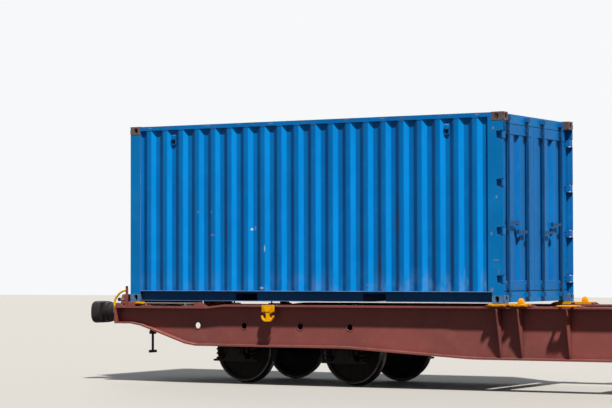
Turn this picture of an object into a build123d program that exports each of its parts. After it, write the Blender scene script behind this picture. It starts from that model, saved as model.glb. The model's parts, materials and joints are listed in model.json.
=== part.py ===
"""Container flatcar on two bogies, carrying one twenty-foot container.

X runs along the wagon, Y across it and Z up. The origin is under the middle of the wagon, at the
lowest point of the wheel flanges. Lengths are millimetres and angles degrees.
"""

import os

from build123d import *

os.makedirs("parts", exist_ok=True)

# Container sizes
BOX_LENGTH = 6058
BOX_WIDTH = 2438
BOX_HEIGHT = 2591
BOX_GAP = 107
CASTING_X = 178
CASTING_Y = 162
CASTING_Z = 118
CASTING_WALL = 26
CASTING_HOLE_X = 102.5
CASTING_HOLE_Y = 89.5
CASTING_HOLE_Z = 62
TOP_HOLE = (124, 63.5)
SIDE_HOLE = (51, 79)
FACE_INSET = 3
SHEET = 4
POST_PLATE = 8
FRONT_POST = 178
FRONT_POST_Y = 105
REAR_POST = 235
REAR_POST_BOX = (110, 40)
REAR_POST_INSET = 48
WAVE_PITCH = 278
WAVE_FLAT = 70
WAVE_SLOPE = 68
WAVE_DEPTH = 36
WAVE_FIRST = 236
END_WAVES = 8
BOTTOM_RAIL_TOP = 163
BOTTOM_RAIL_LOW = 17
BOTTOM_RAIL_LIP = 45
BOTTOM_RAIL_FOOT = 30
RAIL_PLATE = 5
CUT_SPARE = 1
TOP_RAIL = 60
TOP_DROP = 8
ROOF_PITCH = 209
ROOF_DEPTH = 20
FLOOR_THICK = 28
MEMBER_HEIGHT = 118
MEMBER_WIDTH = 45
MEMBER_PLATE = 5
MEMBER_PITCH = 290
POCKET_WIDTH = 360
POCKET_HEIGHT = 114
POCKET_SPACING = 2080
VENT_SIZE = (80, 40, 180)
VENT_X = 760
VENT_DROP = 226
VENT_SHIFT = 90
VENT_PROUD = 1
END_RAIL = 62
END_PLATE = 6

# Door sizes
DOOR_RECESS = 84
DOOR_THICK = 50
DOOR_GAP = 8
DOOR_STILE = 100
DOOR_BEAM = 140
HEADER_HEIGHT = 130
HEADER_DEPTH = 70
PIN_RADIUS = 8
PIN_PLAY = 0.3
BARREL_RADIUS = 14
PIN_INSET_X = 17
PIN_INSET_Y = 17
HINGE_LOW = 330
HINGE_HIGH = 311
HINGE_COUNT = 4
BLADE_HEIGHT = 90
BLADE_PLATE = 12
BLADE_PLAY = 6
BLADE_REACH = 30
NOTCH_DEPTH = 90
NOTCH_SPARE = 8
LUG_PLATE = 12
BAR_RADIUS = 17
BAR_STANDOFF = 28
LOCK_BARS = ((250, 1, 1100), (900, -1, 980))
HANDLE_REACH = 330
BAR_LOW = 85
BAR_HIGH = 25
BRACKET = (70, 60)
BRACKET_END = 60
BRACKET_COUNT = 2
HANDLE = (12, 40)
RETAINER = 40
PANEL_WAVES = 3
PANEL_SHARES = (0.2, 0.15, 0.3)
SEAL_X = (10, 30)
SEAL_PLAY = 1
CAM = (68, 60)
CAM_PROUD = 14
CAM_GAP = 6
KEEPER_PLATE = 10
KEEPER_REACH = 40
KEEPER_GAP = 14

# Wagon sizes
END_GAP = 215
RAIL = 28
SEAT = 1155
PIVOT_INSET = 2841.5
WEB = 10
FLANGE = 26
WEB_END_Y = 1170
WEB_MID_Y = 1090
KINK = (3955, 5465)
FLANGE_EDGE = 1280
FLANGE_MID_EDGE = 1205
FLANGE_INNER = 1035
LOWER_OUT = 80
LOWER_IN = 5
DECK_END = 1090
DECK_MID = 1120
RAMP = (1595, 1865)
BELLY_END = 832
BELLY_BOGIE = 520
BELLY_MID = 400
SLOPE_END = (325, 1280)
SLOPE_MID = (3865, 5765)
BEND_REACH = 90
WEB_HOLE = 45
WEB_HOLE_Z = 815
WEB_HOLES = (1375, 2165, 3095, 3895)
RIB_PLATE = 12
RIB_FOOT = 22
SPIGOT_INSET = 102.5
EXTRA_PLACE = 7170
RIB_MIDDLE = 3080
SEAT_PLATE = (250, 178)
SEAT_BODY = (150, 120)
SPARE_SEAT = (290, 150, 22)
SPIGOT_HEAD = (98, 52)
SPIGOT_RISE = 76
SPIGOT_TAPER = 10
FOLDED_PLACE = 2615
FOLDED_THICK = 55
FOLDED_POINTS = (
    (130, 0),
    (130, 95),
    (100, 95),
    (62, 60),
    (36, 150),
    (70, 189),
    (105, 149),
    (130, 164),
    (85, 234),
)
HEADSTOCK = 30
HEADSTOCK_LOW = 832
HEADSTOCK_EAR = 1262
HEADSTOCK_EAR_HALF = 195
HEADSTOCK_EAR_SLOPE = 60
BUFFER_Y = 875
BUFFER_Z = 993
BUFFER_LENGTH = 600
BUFFER_PLATE = 340
BUFFER_RADIUS = 150
BUFFER_SLEEVE = 136
BUFFER_HEAD = (450, 330)
BUFFER_HEAD_THICK = 50
BUFFER_FOOT = 25
BUFFER_CASE = 330
HOOK_SHANK = 30
HOOK_TOP = 1180
HOOK_POINTS = (
    (-120, -30),
    (-120, 30),
    (250, 30),
    (320, 70),
    (370, 50),
    (370, -30),
    (330, -70),
    (250, -60),
    (150, -30),
)
LINK_PLACE = 200
LINK_PLATE = 26
LINK_WIDTH = 40
LINK_RISE = 25
LINK_DROP = 330
YOKE = (60, 50)
SCREW_RADIUS = 20
SCREW_DROP = 600
SCREW_END = (50, 160, 40)
HANDRAIL_Y = 1250
HANDRAIL_RADIUS = 14
HANDRAIL_POINTS = ((-44, 990), (-44, 1190), (42, 1278), (93, 1307), (130, 1319), (167, 1319))
HANDRAIL_PLATE = (145, 167, 187)
HANDRAIL_PLATE_TOP = 1355
HANDRAIL_PLATE_KNEE = 1193
HANDRAIL_PLATE_HALF = 22
TANK_RADIUS = 180
TANK_LENGTH = 1100
TANK_Y = 420
TANK_GAP = 15
TANK_SADDLE = 80
TANK_PLACES = (-1560, 1560)
BOLSTER_WIDTH = 420
BOLSTER_RISE = 60
BOLSTER_EDGE = 120
SLIDE_BLOCK = (110, 45)
STUB_Y = 330
STUB_WIDTH = 90
STUB_DEPTH = 130
BEARER_DEPTH = 300
BEARER_WIDTH = 160
BEARER_PLATE = 12
BEARER_PLACES = (0, 1560, 3080, 4560)
BEARER_FROM_PIVOT = 3485
OVER_BOGIE = 955

# Bogie sizes
WHEELBASE = 1800
WHEEL_RADIUS = 460
BACK_TO_BACK = 1360
RIM_WIDTH = 135
FLANGE_WIDTH = 32
RIM_THICK = 60
DISC_THICK = 26
AXLE_RADIUS = 82
JOURNAL_RADIUS = 62
JOURNAL_Y = 1000
JOURNAL_END = 1066
WHEEL_GAP = 30
AXLE_BOX_RADIUS = 134
BOX_FOOT = 110
FOOT_STEP = 10
AXLE_BOX_INNER = 920
AXLE_BOX_OUTER = 1078
BORE_PLAY = 0.4
END_PLAY = 5
FRAME_Y = (950, 1040)
FRAME_END = 1330
FRAME_TOP = 850
FRAME_LOW = 640
FRAME_CUT = 60
FRAME_TAPER = 200
FRAME_WAIST = (420, 260)
FRAME_EDGE = 20
LEG_LOW = 420
LEG_WIDTH = 60
LEG_GAP = 12
LEG_SINK = 40
WING = 365
WING_Z = 300
WING_PLATE = 30
SPRING_OFFSET = 280
SPRING_RADIUS = 70
CROSS_WIDTH = 300
CROSS_LOW = 560
BOWL_RADIUS = 175
BOWL_TOP = 925
BEARER_Y = 850
BLOCK_GAP = 8
BLOCK_THICK = 60
BLOCK_REACH = 165
BEAM_SINK = 30
HANGER_Y = 480
HANGER_PLATE = 12
BLOCK_WIDTH = 80
BEAM_RADIUS = 32
WING_HALF = 70
PIVOT_SINK = 40
PIVOT_PLAY = 0.4
BOWL_WALL = 25
SIDE_BEARER_TOP = 920
SIDE_BEARER = (90, 40)

# Flats on the round pieces
WHEEL_SIDES = 16
BIG_SIDES = 16
BAR_SIDES = 12
SMALL_SIDES = 8
CORNER_CUT = 0.3

# Places worked out from the sizes
deck = 4 * BOX_LENGTH + 3 * BOX_GAP + 2 * END_GAP
half = deck / 2
box_low = RAIL + SEAT
box_top = box_low + BOX_HEIGHT
box_x0 = -half + END_GAP
box_x1 = box_x0 + BOX_LENGTH
box_mid = (box_x0 + box_x1) / 2
box_y = BOX_WIDTH / 2
box_plane = Plane.YZ.offset(box_mid)
height_plane = Plane.XY.offset(box_low + BOX_HEIGHT / 2)
axle_z = RAIL + WHEEL_RADIUS
flange_radius = axle_z
wheel_out = BACK_TO_BACK / 2 + RIM_WIDTH
pivot = half - PIVOT_INSET


def outline(plane, points):
    """A face from corner points."""
    with BuildSketch(plane) as sketch:
        with BuildLine():
            Polyline(*points, close=True)
        make_face()
    return sketch.sketch


def across(points, y0, y1, mode=Mode.ADD):
    """Extrudes an XZ outline from y0 to y1 into the current part."""
    extrude(outline(Plane.XZ.offset(-y1), points), amount=y1 - y0, mode=mode)


def along(points, x0, x1, mode=Mode.ADD):
    """Extrudes a YZ outline from x0 to x1 into the current part."""
    extrude(outline(Plane.YZ.offset(x0), points), amount=x1 - x0, mode=mode)


def upward(points, z0, z1, mode=Mode.ADD):
    """Extrudes an XY outline from z0 to z1 into the current part."""
    extrude(outline(Plane.XY.offset(z0), points), amount=z1 - z0, mode=mode)


def block(x, y, z, mode=Mode.ADD):
    """A plate or bar between two values on each axis."""
    with Locations((sum(x) / 2, sum(y) / 2, sum(z) / 2)):
        Box(abs(x[1] - x[0]), abs(y[1] - y[0]), abs(z[1] - z[0]), mode=mode)


def rod(start, end, radius, mode=Mode.ADD, sides=BAR_SIDES):
    """A bar between two points with narrow flats, whose corners lie on the radius.

    A hole's flats lie on the radius instead, so a round piece turns freely in it.
    """
    path = Vector(*end) - Vector(*start)
    with BuildSketch(Plane(origin=start, z_dir=path)) as ring:
        RegularPolygon(radius, sides, major_radius=mode != Mode.SUBTRACT)
    extrude(ring.sketch, amount=path.length, mode=mode)


def oblong(centre, size):
    """Corner points of a slot or plate with cut corners."""
    u, v = centre
    a = size[0] / 2
    b = size[1] / 2
    cut = min(size) * CORNER_CUT
    return [
        (u - a, v - b + cut),
        (u - a + cut, v - b),
        (u + a - cut, v - b),
        (u + a, v - b + cut),
        (u + a, v + b - cut),
        (u + a - cut, v + b),
        (u - a + cut, v + b),
        (u - a, v + b - cut),
    ]


def spread(first, last, count):
    """Evenly spaced places from the first to the last."""
    return [first + index * (last - first) / (count - 1) for index in range(count)]


def save(part, name):
    """Labels a finished part and writes its file."""
    part.label = name
    export_step(part, f"parts/{name}.step")


def save_plates(parts, name):
    """Writes plates that stay separate solids in one node."""
    save(Compound([solid for part in parts for solid in part.solids()]), name)


# Container corner castings
casting_x = (box_x0, box_x0 + CASTING_X)
casting_y = (-box_y, -box_y + CASTING_Y)
casting_z = (box_low, box_low + CASTING_Z)
with BuildPart() as container_castings:
    block(casting_x, casting_y, casting_z)
    block(
        (casting_x[0] + CASTING_WALL, casting_x[1] - CASTING_WALL),
        (casting_y[0] + CASTING_WALL, casting_y[1] - CASTING_WALL),
        (casting_z[0] + CASTING_WALL, casting_z[1] - CASTING_WALL),
        Mode.SUBTRACT,
    )
    hole = (casting_x[0] + CASTING_HOLE_X, casting_y[0] + CASTING_HOLE_Y)
    hole_z = casting_z[0] + CASTING_HOLE_Z
    wall = CASTING_WALL
    upward(oblong(hole, TOP_HOLE), casting_z[0], casting_z[0] + wall, Mode.SUBTRACT)
    across(oblong((hole[0], hole_z), SIDE_HOLE), casting_y[0], casting_y[0] + wall, Mode.SUBTRACT)
    along(oblong((hole[1], hole_z), SIDE_HOLE), casting_x[0], casting_x[0] + wall, Mode.SUBTRACT)
    mirror(about=height_plane)
    mirror(about=box_plane)
    mirror(about=Plane.XZ)
save(container_castings.part, "container_castings")

# Container frame at the blind end
skin_y = -box_y + FACE_INSET
post_low = box_low + CASTING_Z
post_top = box_top - CASTING_Z
front_x = box_x0 + FACE_INSET
top_z = box_top - TOP_DROP
wall_low = box_low + BOTTOM_RAIL_TOP
wall_top = top_z - TOP_RAIL
front_post = [
    (front_x, skin_y),
    (box_x0 + FRONT_POST, skin_y),
    (box_x0 + FRONT_POST, skin_y + POST_PLATE),
    (front_x + POST_PLATE, skin_y + POST_PLATE),
    (front_x + POST_PLATE, skin_y + FRONT_POST_Y),
    (front_x, skin_y + FRONT_POST_Y),
]
end_rail_y = box_y - CASTING_Y
with BuildPart() as container_front_frame:
    upward(front_post, post_low, post_top)
    mirror(about=Plane.XZ)
    block(
        (front_x, front_x + END_RAIL),
        (-end_rail_y, end_rail_y),
        (box_low + BOTTOM_RAIL_LOW, box_low + BOTTOM_RAIL_TOP),
    )
    block(
        (front_x, front_x + END_RAIL),
        (-end_rail_y, end_rail_y),
        (top_z - CASTING_Z, top_z),
    )
    block(
        (front_x + END_RAIL, box_x0 + CASTING_X),
        (-end_rail_y, end_rail_y),
        (top_z - END_PLATE, top_z),
    )
save(container_front_frame.part, "container_front_frame")

# Container blind end wall with vertical waves
end_wall_half = -(skin_y + FRONT_POST_Y)
end_wave = 2 * end_wall_half / END_WAVES
end_x = front_x + POST_PLATE


def wave_line(first, count, pitch, slope, flat, high, low):
    """Corner points of a folded sheet: a slope in, a flat, and a slope out for each wave."""
    points = []
    for index in range(count):
        start = first + index * pitch
        points.append((start, high))
        points.append((start + slope, low))
        points.append((start + slope + flat, low))
        points.append((start + 2 * slope + flat, high))
    return points


end_slope = end_wave * WAVE_SLOPE / WAVE_PITCH
end_flat = end_wave * WAVE_FLAT / WAVE_PITCH
end_first = -end_wall_half + end_flat / 2
end_line = [(-end_wall_half, end_x)]
end_line += wave_line(
    end_first, END_WAVES, end_wave, end_slope, end_flat, end_x, end_x + WAVE_DEPTH
)
end_line += [(end_wall_half, end_x)]
end_sheet = [(x, y) for y, x in end_line]
end_sheet += [(x + SHEET, y) for y, x in reversed(end_line)]
with BuildPart() as container_front_wall:
    upward(end_sheet, wall_low, top_z - CASTING_Z)
save(container_front_wall.part, "container_front_wall")

# Container side walls with vertical waves
side_first = box_x0 + WAVE_FIRST
wave_count = int((BOX_LENGTH - WAVE_FIRST - REAR_POST) // WAVE_PITCH)
side_line = [(box_x0 + FRONT_POST, skin_y)]
side_line += wave_line(
    side_first, wave_count, WAVE_PITCH, WAVE_SLOPE, WAVE_FLAT, skin_y, skin_y + WAVE_DEPTH
)
side_line += [(box_x1 - REAR_POST, skin_y)]
side_sheet = side_line + [(x, y + SHEET) for x, y in reversed(side_line)]
vent_x = (box_x0 + VENT_X, box_x1 - VENT_X - VENT_SHIFT)
vent_z = (box_top - VENT_DROP - VENT_SIZE[2] / 2, box_top - VENT_DROP + VENT_SIZE[2] / 2)
with BuildPart() as container_side_near:
    upward(side_sheet, wall_low, wall_top)
    for place in vent_x:
        block(
            (place - VENT_SIZE[0] / 2, place + VENT_SIZE[0] / 2),
            (-box_y, skin_y + VENT_SIZE[1]),
            vent_z,
            Mode.SUBTRACT,
        )
save(container_side_near.part, "container_side_near")
with BuildPart() as container_side_far:
    add(mirror(container_side_near.part, about=Plane.XZ))
save(container_side_far.part, "container_side_far")

# Container rear posts, header and sill around the doors
rear_x = box_x1 - FACE_INSET
pin_x = box_x1 - PIN_INSET_X
pin_y = -box_y + PIN_INSET_Y
post_box_x = (rear_x - REAR_POST_INSET - REAR_POST_BOX[0], rear_x - REAR_POST_INSET)
post_box_y = (skin_y, skin_y + REAR_POST_BOX[1])
door_face = box_x1 - DOOR_RECESS
hinge_levels = spread(box_low + HINGE_LOW, box_top - HINGE_HIGH, HINGE_COUNT)
with BuildPart() as container_door_frame:
    block(
        (box_x1 - REAR_POST, box_x1 - CASTING_X),
        (skin_y, skin_y + POST_PLATE),
        (wall_low, wall_top),
    )
    block((box_x1 - CASTING_X, rear_x), (skin_y, skin_y + POST_PLATE), (post_low, post_top))
    block(post_box_x, post_box_y, (post_low, post_top))
    for level in hinge_levels:
        notch = BLADE_HEIGHT / 2 + BLADE_PLAY
        block(
            (pin_x - NOTCH_DEPTH, rear_x),
            (skin_y, pin_y + BARREL_RADIUS + NOTCH_SPARE),
            (level - notch, level + notch),
            Mode.SUBTRACT,
        )
        relief = notch + LUG_PLATE
        block(
            (post_box_x[1], rear_x),
            (skin_y, skin_y + POST_PLATE),
            (level - relief, level + relief),
            Mode.SUBTRACT,
        )
    mirror(about=Plane.XZ)
    for width, low, high in (
        (end_rail_y, top_z - HEADER_HEIGHT, top_z),
        (-post_box_y[1], top_z - HEADER_HEIGHT, post_top),
        (end_rail_y, box_low + BOTTOM_RAIL_LOW, wall_low),
        (-post_box_y[1], post_low, wall_low),
    ):
        block((door_face - HEADER_DEPTH, door_face), (-width, width), (low, high))
    block(
        (box_x1 - CASTING_X, door_face - HEADER_DEPTH),
        (-end_rail_y, end_rail_y),
        (top_z - END_PLATE, top_z),
    )
save(container_door_frame.part, "container_door_frame")

# Container top and bottom rails
with BuildPart() as container_top_rails:
    block(
        (box_x0 + CASTING_X, box_x1 - CASTING_X),
        (skin_y, skin_y + TOP_RAIL),
        (top_z - TOP_RAIL, top_z),
    )
    block(
        (box_x0 + CASTING_X, box_x1 - CASTING_X),
        (skin_y + SHEET, skin_y + TOP_RAIL - SHEET),
        (top_z - TOP_RAIL + SHEET, top_z - SHEET),
        Mode.SUBTRACT,
    )
    mirror(about=Plane.XZ)
save(container_top_rails.part, "container_top_rails")

rail_low = box_low + BOTTOM_RAIL_LOW
rail_top = box_low + BOTTOM_RAIL_TOP
lip_y = skin_y
rail_web_y = skin_y + BOTTOM_RAIL_LIP
bottom_rail = [
    (lip_y, rail_top),
    (rail_web_y + RAIL_PLATE, rail_top),
    (rail_web_y + RAIL_PLATE, rail_low),
    (rail_web_y - BOTTOM_RAIL_FOOT, rail_low),
    (rail_web_y - BOTTOM_RAIL_FOOT, rail_low + RAIL_PLATE),
    (rail_web_y, rail_low + RAIL_PLATE),
    (rail_web_y, rail_top - RAIL_PLATE),
    (lip_y, rail_top - RAIL_PLATE),
]
pocket_x = [box_mid - POCKET_SPACING / 2, box_mid + POCKET_SPACING / 2]
pocket_z = (rail_low, rail_low + POCKET_HEIGHT)
with BuildPart() as container_bottom_rails:
    along(bottom_rail, box_x0 + CASTING_X, box_x1 - CASTING_X)
    for place in pocket_x:
        block(
            (place - POCKET_WIDTH / 2, place + POCKET_WIDTH / 2),
            (rail_web_y - CUT_SPARE, rail_web_y + RAIL_PLATE + CUT_SPARE),
            (pocket_z[0] + RAIL_PLATE, pocket_z[1]),
            Mode.SUBTRACT,
        )
    mirror(about=Plane.XZ)
save(container_bottom_rails.part, "container_bottom_rails")

# Container floor members, fork pockets and boards
member_y = -(rail_web_y + RAIL_PLATE)
member_top = rail_low + MEMBER_HEIGHT
member_count = int((BOX_LENGTH - 2 * CASTING_X) // MEMBER_PITCH)
member_first = box_mid - MEMBER_PITCH * (member_count - 1) / 2
with BuildPart() as container_floor_members:
    for index in range(member_count):
        x = member_first + index * MEMBER_PITCH
        if all(abs(x - place) > POCKET_WIDTH / 2 + MEMBER_WIDTH for place in pocket_x):
            channel = [
                (x, rail_low),
                (x + MEMBER_WIDTH, rail_low),
                (x + MEMBER_WIDTH, rail_low + MEMBER_PLATE),
                (x + MEMBER_PLATE, rail_low + MEMBER_PLATE),
                (x + MEMBER_PLATE, member_top - MEMBER_PLATE),
                (x + MEMBER_WIDTH, member_top - MEMBER_PLATE),
                (x + MEMBER_WIDTH, member_top),
                (x, member_top),
            ]
            across(channel, -member_y, member_y)
    for place in pocket_x:
        wide = POCKET_WIDTH / 2
        tunnel = [
            (place - wide - MEMBER_PLATE, rail_low),
            (place - wide, rail_low),
            (place - wide, member_top - MEMBER_PLATE),
            (place + wide, member_top - MEMBER_PLATE),
            (place + wide, rail_low),
            (place + wide + MEMBER_PLATE, rail_low),
            (place + wide + MEMBER_PLATE, member_top),
            (place - wide - MEMBER_PLATE, member_top),
        ]
        across(tunnel, -member_y, member_y)
save(container_floor_members.part, "container_floor_members")

with BuildPart() as container_floor:
    block(
        (front_x + END_RAIL, door_face - HEADER_DEPTH),
        (-member_y, member_y),
        (member_top, member_top + FLOOR_THICK),
    )
save(container_floor.part, "container_floor")

# Container roof with waves across it
roof_y = -(skin_y + TOP_RAIL)
roof_x = (box_x0 + CASTING_X, box_x1 - CASTING_X)
roof_slope = ROOF_PITCH / 6
roof_flat = ROOF_PITCH / 3
roof_count = int((roof_x[1] - roof_x[0]) // ROOF_PITCH) - 1
roof_first = box_mid - roof_count * ROOF_PITCH / 2 + roof_flat / 2
roof_line = [(roof_x[0], top_z - SHEET)]
roof_line += wave_line(
    roof_first, roof_count, ROOF_PITCH, roof_slope, roof_flat, top_z - SHEET, top_z - ROOF_DEPTH
)
roof_line += [(roof_x[1], top_z - SHEET)]
roof_sheet = roof_line + [(x, z - SHEET) for x, z in reversed(roof_line)]
with BuildPart() as container_roof:
    across(roof_sheet, -roof_y, roof_y)
save(container_roof.part, "container_roof")

# Container ventilators, two on each side
with BuildPart() as container_vents:
    for place in vent_x:
        block(
            (place - VENT_SIZE[0] / 2, place + VENT_SIZE[0] / 2),
            (-box_y + VENT_PROUD, skin_y + VENT_SIZE[1]),
            vent_z,
        )
    mirror(about=Plane.XZ)
save(container_vents.part, "container_vents")

# Hinge pins and their lugs on the rear posts
with BuildPart() as container_hinge_pins:
    for level in hinge_levels:
        for side in (-1, 1):
            low = level + side * (BLADE_HEIGHT / 2 + BLADE_PLAY)
            high = low + side * LUG_PLATE
            block(
                (post_box_x[1], pin_x + BARREL_RADIUS),
                (skin_y, pin_y + BARREL_RADIUS),
                (low, high),
            )
        reach = BLADE_HEIGHT / 2 + BLADE_PLAY + LUG_PLATE
        pin_ends = ((pin_x, pin_y, level - reach), (pin_x, pin_y, level + reach))
        rod(*pin_ends, PIN_RADIUS, sides=SMALL_SIDES)
    mirror(about=Plane.XZ)
save(container_hinge_pins.part, "container_hinge_pins")

# Near door: leaf, hinge blades, lock bars and gasket
leaf_y = (post_box_y[1] + DOOR_GAP, -DOOR_GAP / 2)
leaf_z = (rail_top + DOOR_GAP, top_z - HEADER_HEIGHT - DOOR_GAP)
leaf_x = (door_face - DOOR_THICK, door_face)
panel_y = (leaf_y[0] + DOOR_STILE, leaf_y[1] - DOOR_STILE)
panel_z = (leaf_z[0] + DOOR_BEAM, leaf_z[1] - DOOR_BEAM)
with BuildPart() as door_near_leaf:
    block(leaf_x, leaf_y, leaf_z)
    block(leaf_x, panel_y, panel_z, Mode.SUBTRACT)
    panel_wave = (panel_y[1] - panel_y[0]) / PANEL_WAVES
    panel_first, panel_slope, panel_flat = [panel_wave * share for share in PANEL_SHARES]
    panel_line = [(panel_y[0], leaf_x[1] - SHEET)]
    panel_line += wave_line(
        panel_y[0] + panel_first,
        PANEL_WAVES,
        panel_wave,
        panel_slope,
        panel_flat,
        leaf_x[1] - SHEET,
        leaf_x[1] - SHEET - WAVE_DEPTH,
    )
    panel_line += [(panel_y[1], leaf_x[1] - SHEET)]
    panel = [(x, y) for y, x in panel_line] + [(x - SHEET, y) for y, x in reversed(panel_line)]
    upward(panel, *panel_z)
save(door_near_leaf.part, "door_near_leaf")

blade_end = leaf_y[0] + BLADE_REACH
with BuildPart() as door_near_hinges:
    for level in hinge_levels:
        ends = (level - BLADE_HEIGHT / 2, level + BLADE_HEIGHT / 2)
        blade = [
            (pin_x + BLADE_PLATE / 2, pin_y),
            (pin_x + BLADE_PLATE / 2, blade_end + BLADE_PLATE),
            (door_face, blade_end + BLADE_PLATE),
            (door_face, blade_end),
            (pin_x - BLADE_PLATE / 2, blade_end),
            (pin_x - BLADE_PLATE / 2, pin_y),
        ]
        upward(blade, *ends)
        barrel = ((pin_x, pin_y, ends[0]), (pin_x, pin_y, ends[1]))
        rod(*barrel, BARREL_RADIUS, sides=SMALL_SIDES)
        rod(*barrel, PIN_RADIUS + PIN_PLAY, Mode.SUBTRACT, SMALL_SIDES)
save(door_near_hinges.part, "door_near_hinges")

bar_x = door_face + BAR_STANDOFF
bar_z = (box_low + BAR_LOW, top_z - BAR_HIGH)
with BuildPart() as door_near_lock_bars:
    for place, way, handle in LOCK_BARS:
        y = leaf_y[0] + place
        grip = y + way * HANDLE_REACH
        handle_z = box_low + handle
        rod((bar_x, y, bar_z[0]), (bar_x, y, bar_z[1]), BAR_RADIUS, sides=SMALL_SIDES)
        for level in spread(leaf_z[0] + BRACKET_END, leaf_z[1] - BRACKET_END, BRACKET_COUNT):
            block(
                (door_face, bar_x),
                (y - BRACKET[0] / 2, y + BRACKET[0] / 2),
                (level - BRACKET[1] / 2, level + BRACKET[1] / 2),
            )
        block(
            (bar_x - HANDLE[0] / 2, bar_x + HANDLE[0] / 2),
            (y, grip),
            (handle_z - HANDLE[1] / 2, handle_z + HANDLE[1] / 2),
        )
        block(
            (door_face, bar_x),
            (grip - way * RETAINER, grip),
            (handle_z - BRACKET[1] / 2, handle_z + BRACKET[1] / 2),
        )
        for level in (bar_z[0], bar_z[1] - CAM[1]):
            block(
                (door_face + CAM_GAP, bar_x + CAM_PROUD),
                (y - CAM[0] / 2, y + CAM[0] / 2),
                (level, level + CAM[1]),
            )
save(door_near_lock_bars.part, "door_near_lock_bars")

# Keepers on the header and sill, an ear on each side of every cam
with BuildPart() as container_keepers:
    for place, way, handle in LOCK_BARS:
        for side in (-1, 1):
            ear_y = leaf_y[0] + place + side * (CAM[0] / 2 + KEEPER_GAP)
            for level in (bar_z[0], bar_z[1] - CAM[1]):
                block(
                    (door_face, door_face + KEEPER_REACH),
                    (ear_y, ear_y + side * KEEPER_PLATE),
                    (level, level + CAM[1]),
                )
    mirror(about=Plane.XZ)
save(container_keepers.part, "container_keepers")

with BuildPart() as door_near_gasket:
    seal_out = DOOR_GAP - SEAL_PLAY
    seal_y = (leaf_y[0] - seal_out, leaf_y[1])
    seal_z = (leaf_z[0] - seal_out, leaf_z[1] + seal_out)
    seal_x = (leaf_x[0] + SEAL_X[0], leaf_x[0] + SEAL_X[1])
    block(seal_x, seal_y, seal_z)
    block(seal_x, leaf_y, leaf_z, Mode.SUBTRACT)
save(door_near_gasket.part, "door_near_gasket")

for name, near in (
    ("leaf", door_near_leaf),
    ("hinges", door_near_hinges),
    ("lock_bars", door_near_lock_bars),
    ("gasket", door_near_gasket),
):
    with BuildPart() as far_piece:
        add(mirror(near.part, about=Plane.XZ))
    save(far_piece.part, f"door_far_{name}")


def station(distance):
    """X of a place on the left half, measured from the headstock face."""
    return -half + distance


# Side sills: webs, flanges and ribs welded from plates, deeper between the bogies
def eased(points):
    """Cuts each bend of an open line into two, at the same reach on both sides of it."""
    line = [points[0]]
    for before, bend, after in zip(points, points[1:], points[2:]):
        for near in (before, after):
            share = BEND_REACH / abs(near[0] - bend[0])
            line.append((bend[0] + (near[0] - bend[0]) * share, bend[1] + (near[1] - bend[1]) * share))
    return line + [points[-1]]


low_line = eased(
    [
        (station(0), RAIL + BELLY_END),
        (station(SLOPE_END[0]), RAIL + BELLY_END),
        (station(SLOPE_END[1]), RAIL + BELLY_BOGIE),
        (station(SLOPE_MID[0]), RAIL + BELLY_BOGIE),
        (station(SLOPE_MID[1]), RAIL + BELLY_MID),
        (0, RAIL + BELLY_MID),
    ]
)
top_line = [
    (station(0), RAIL + DECK_END),
    (station(RAMP[0]), RAIL + DECK_END),
    (station(RAMP[1]), RAIL + DECK_MID),
    (0, RAIL + DECK_MID),
]
low_band = low_line + [(x, z + FLANGE) for x, z in reversed(low_line)]
top_band = top_line + [(x, z - FLANGE) for x, z in reversed(top_line)]
web_face = [(x, z + FLANGE) for x, z in low_line] + [(x, z - FLANGE) for x, z in reversed(top_line)]
web_line = [
    (station(0), -WEB_END_Y),
    (station(KINK[0]), -WEB_END_Y),
    (station(KINK[1]), -WEB_MID_Y),
    (0, -WEB_MID_Y),
]


def sill_plate(ends, outer, inner, face):
    """One plate of the near left sill, straight in plan, cut to an outline seen from the side."""
    plan = [(x, y - outer) for x, y in ends] + [(x, y + inner) for x, y in reversed(ends)]
    with BuildPart() as built:
        upward(plan, RAIL + BELLY_MID, RAIL + DECK_MID)
        across(face, -FLANGE_EDGE, 0, Mode.INTERSECT)
        if ends[1][0] == 0:
            mirror(about=Plane.YZ)
    return built.part


spigot_x = [
    station(END_GAP + SPIGOT_INSET),
    station(END_GAP + BOX_LENGTH - SPIGOT_INSET),
    station(END_GAP + BOX_LENGTH + BOX_GAP + SPIGOT_INSET),
    -BOX_GAP / 2 - SPIGOT_INSET,
]
rib_x = spigot_x[1:] + [station(EXTRA_PLACE), -RIB_MIDDLE]
rib = [
    (-FLANGE_EDGE + FACE_INSET, RAIL + DECK_MID - FLANGE),
    (-WEB_MID_Y, RAIL + DECK_MID - FLANGE),
    (-WEB_MID_Y, RAIL + BELLY_MID + FLANGE),
    (-WEB_MID_Y - RIB_FOOT, RAIL + BELLY_MID + FLANGE),
]
near_plates = []
for ends in zip(web_line, web_line[1:]):
    web = sill_plate(ends, 0, WEB, web_face)
    if ends[0][0] == station(0):
        with BuildPart() as holed:
            add(web)
            for place in WEB_HOLES:
                hole_ends = [(station(place), y, RAIL + WEB_HOLE_Z) for y in (-FLANGE_EDGE, 0)]
                rod(*hole_ends, WEB_HOLE, Mode.SUBTRACT, SMALL_SIDES)
        web = holed.part
    near_plates += [web, sill_plate(ends, LOWER_OUT, WEB + LOWER_IN, low_band)]
flange_plan = [
    (station(0), -FLANGE_EDGE),
    (station(KINK[0]), -FLANGE_EDGE),
    (station(KINK[1]), -FLANGE_MID_EDGE),
    (0, -FLANGE_MID_EDGE),
    (0, -FLANGE_INNER),
    (station(0), -FLANGE_INNER),
]
with BuildPart() as top_flange:
    across(top_band, -FLANGE_EDGE, -FLANGE_INNER)
    upward(flange_plan, 0, box_low, Mode.INTERSECT)
    mirror(about=Plane.YZ)
for x in rib_x:
    with BuildPart() as rib_plate:
        along(rib, x - RIB_PLATE / 2, x + RIB_PLATE / 2)
    near_plates.append(rib_plate.part)
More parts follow.
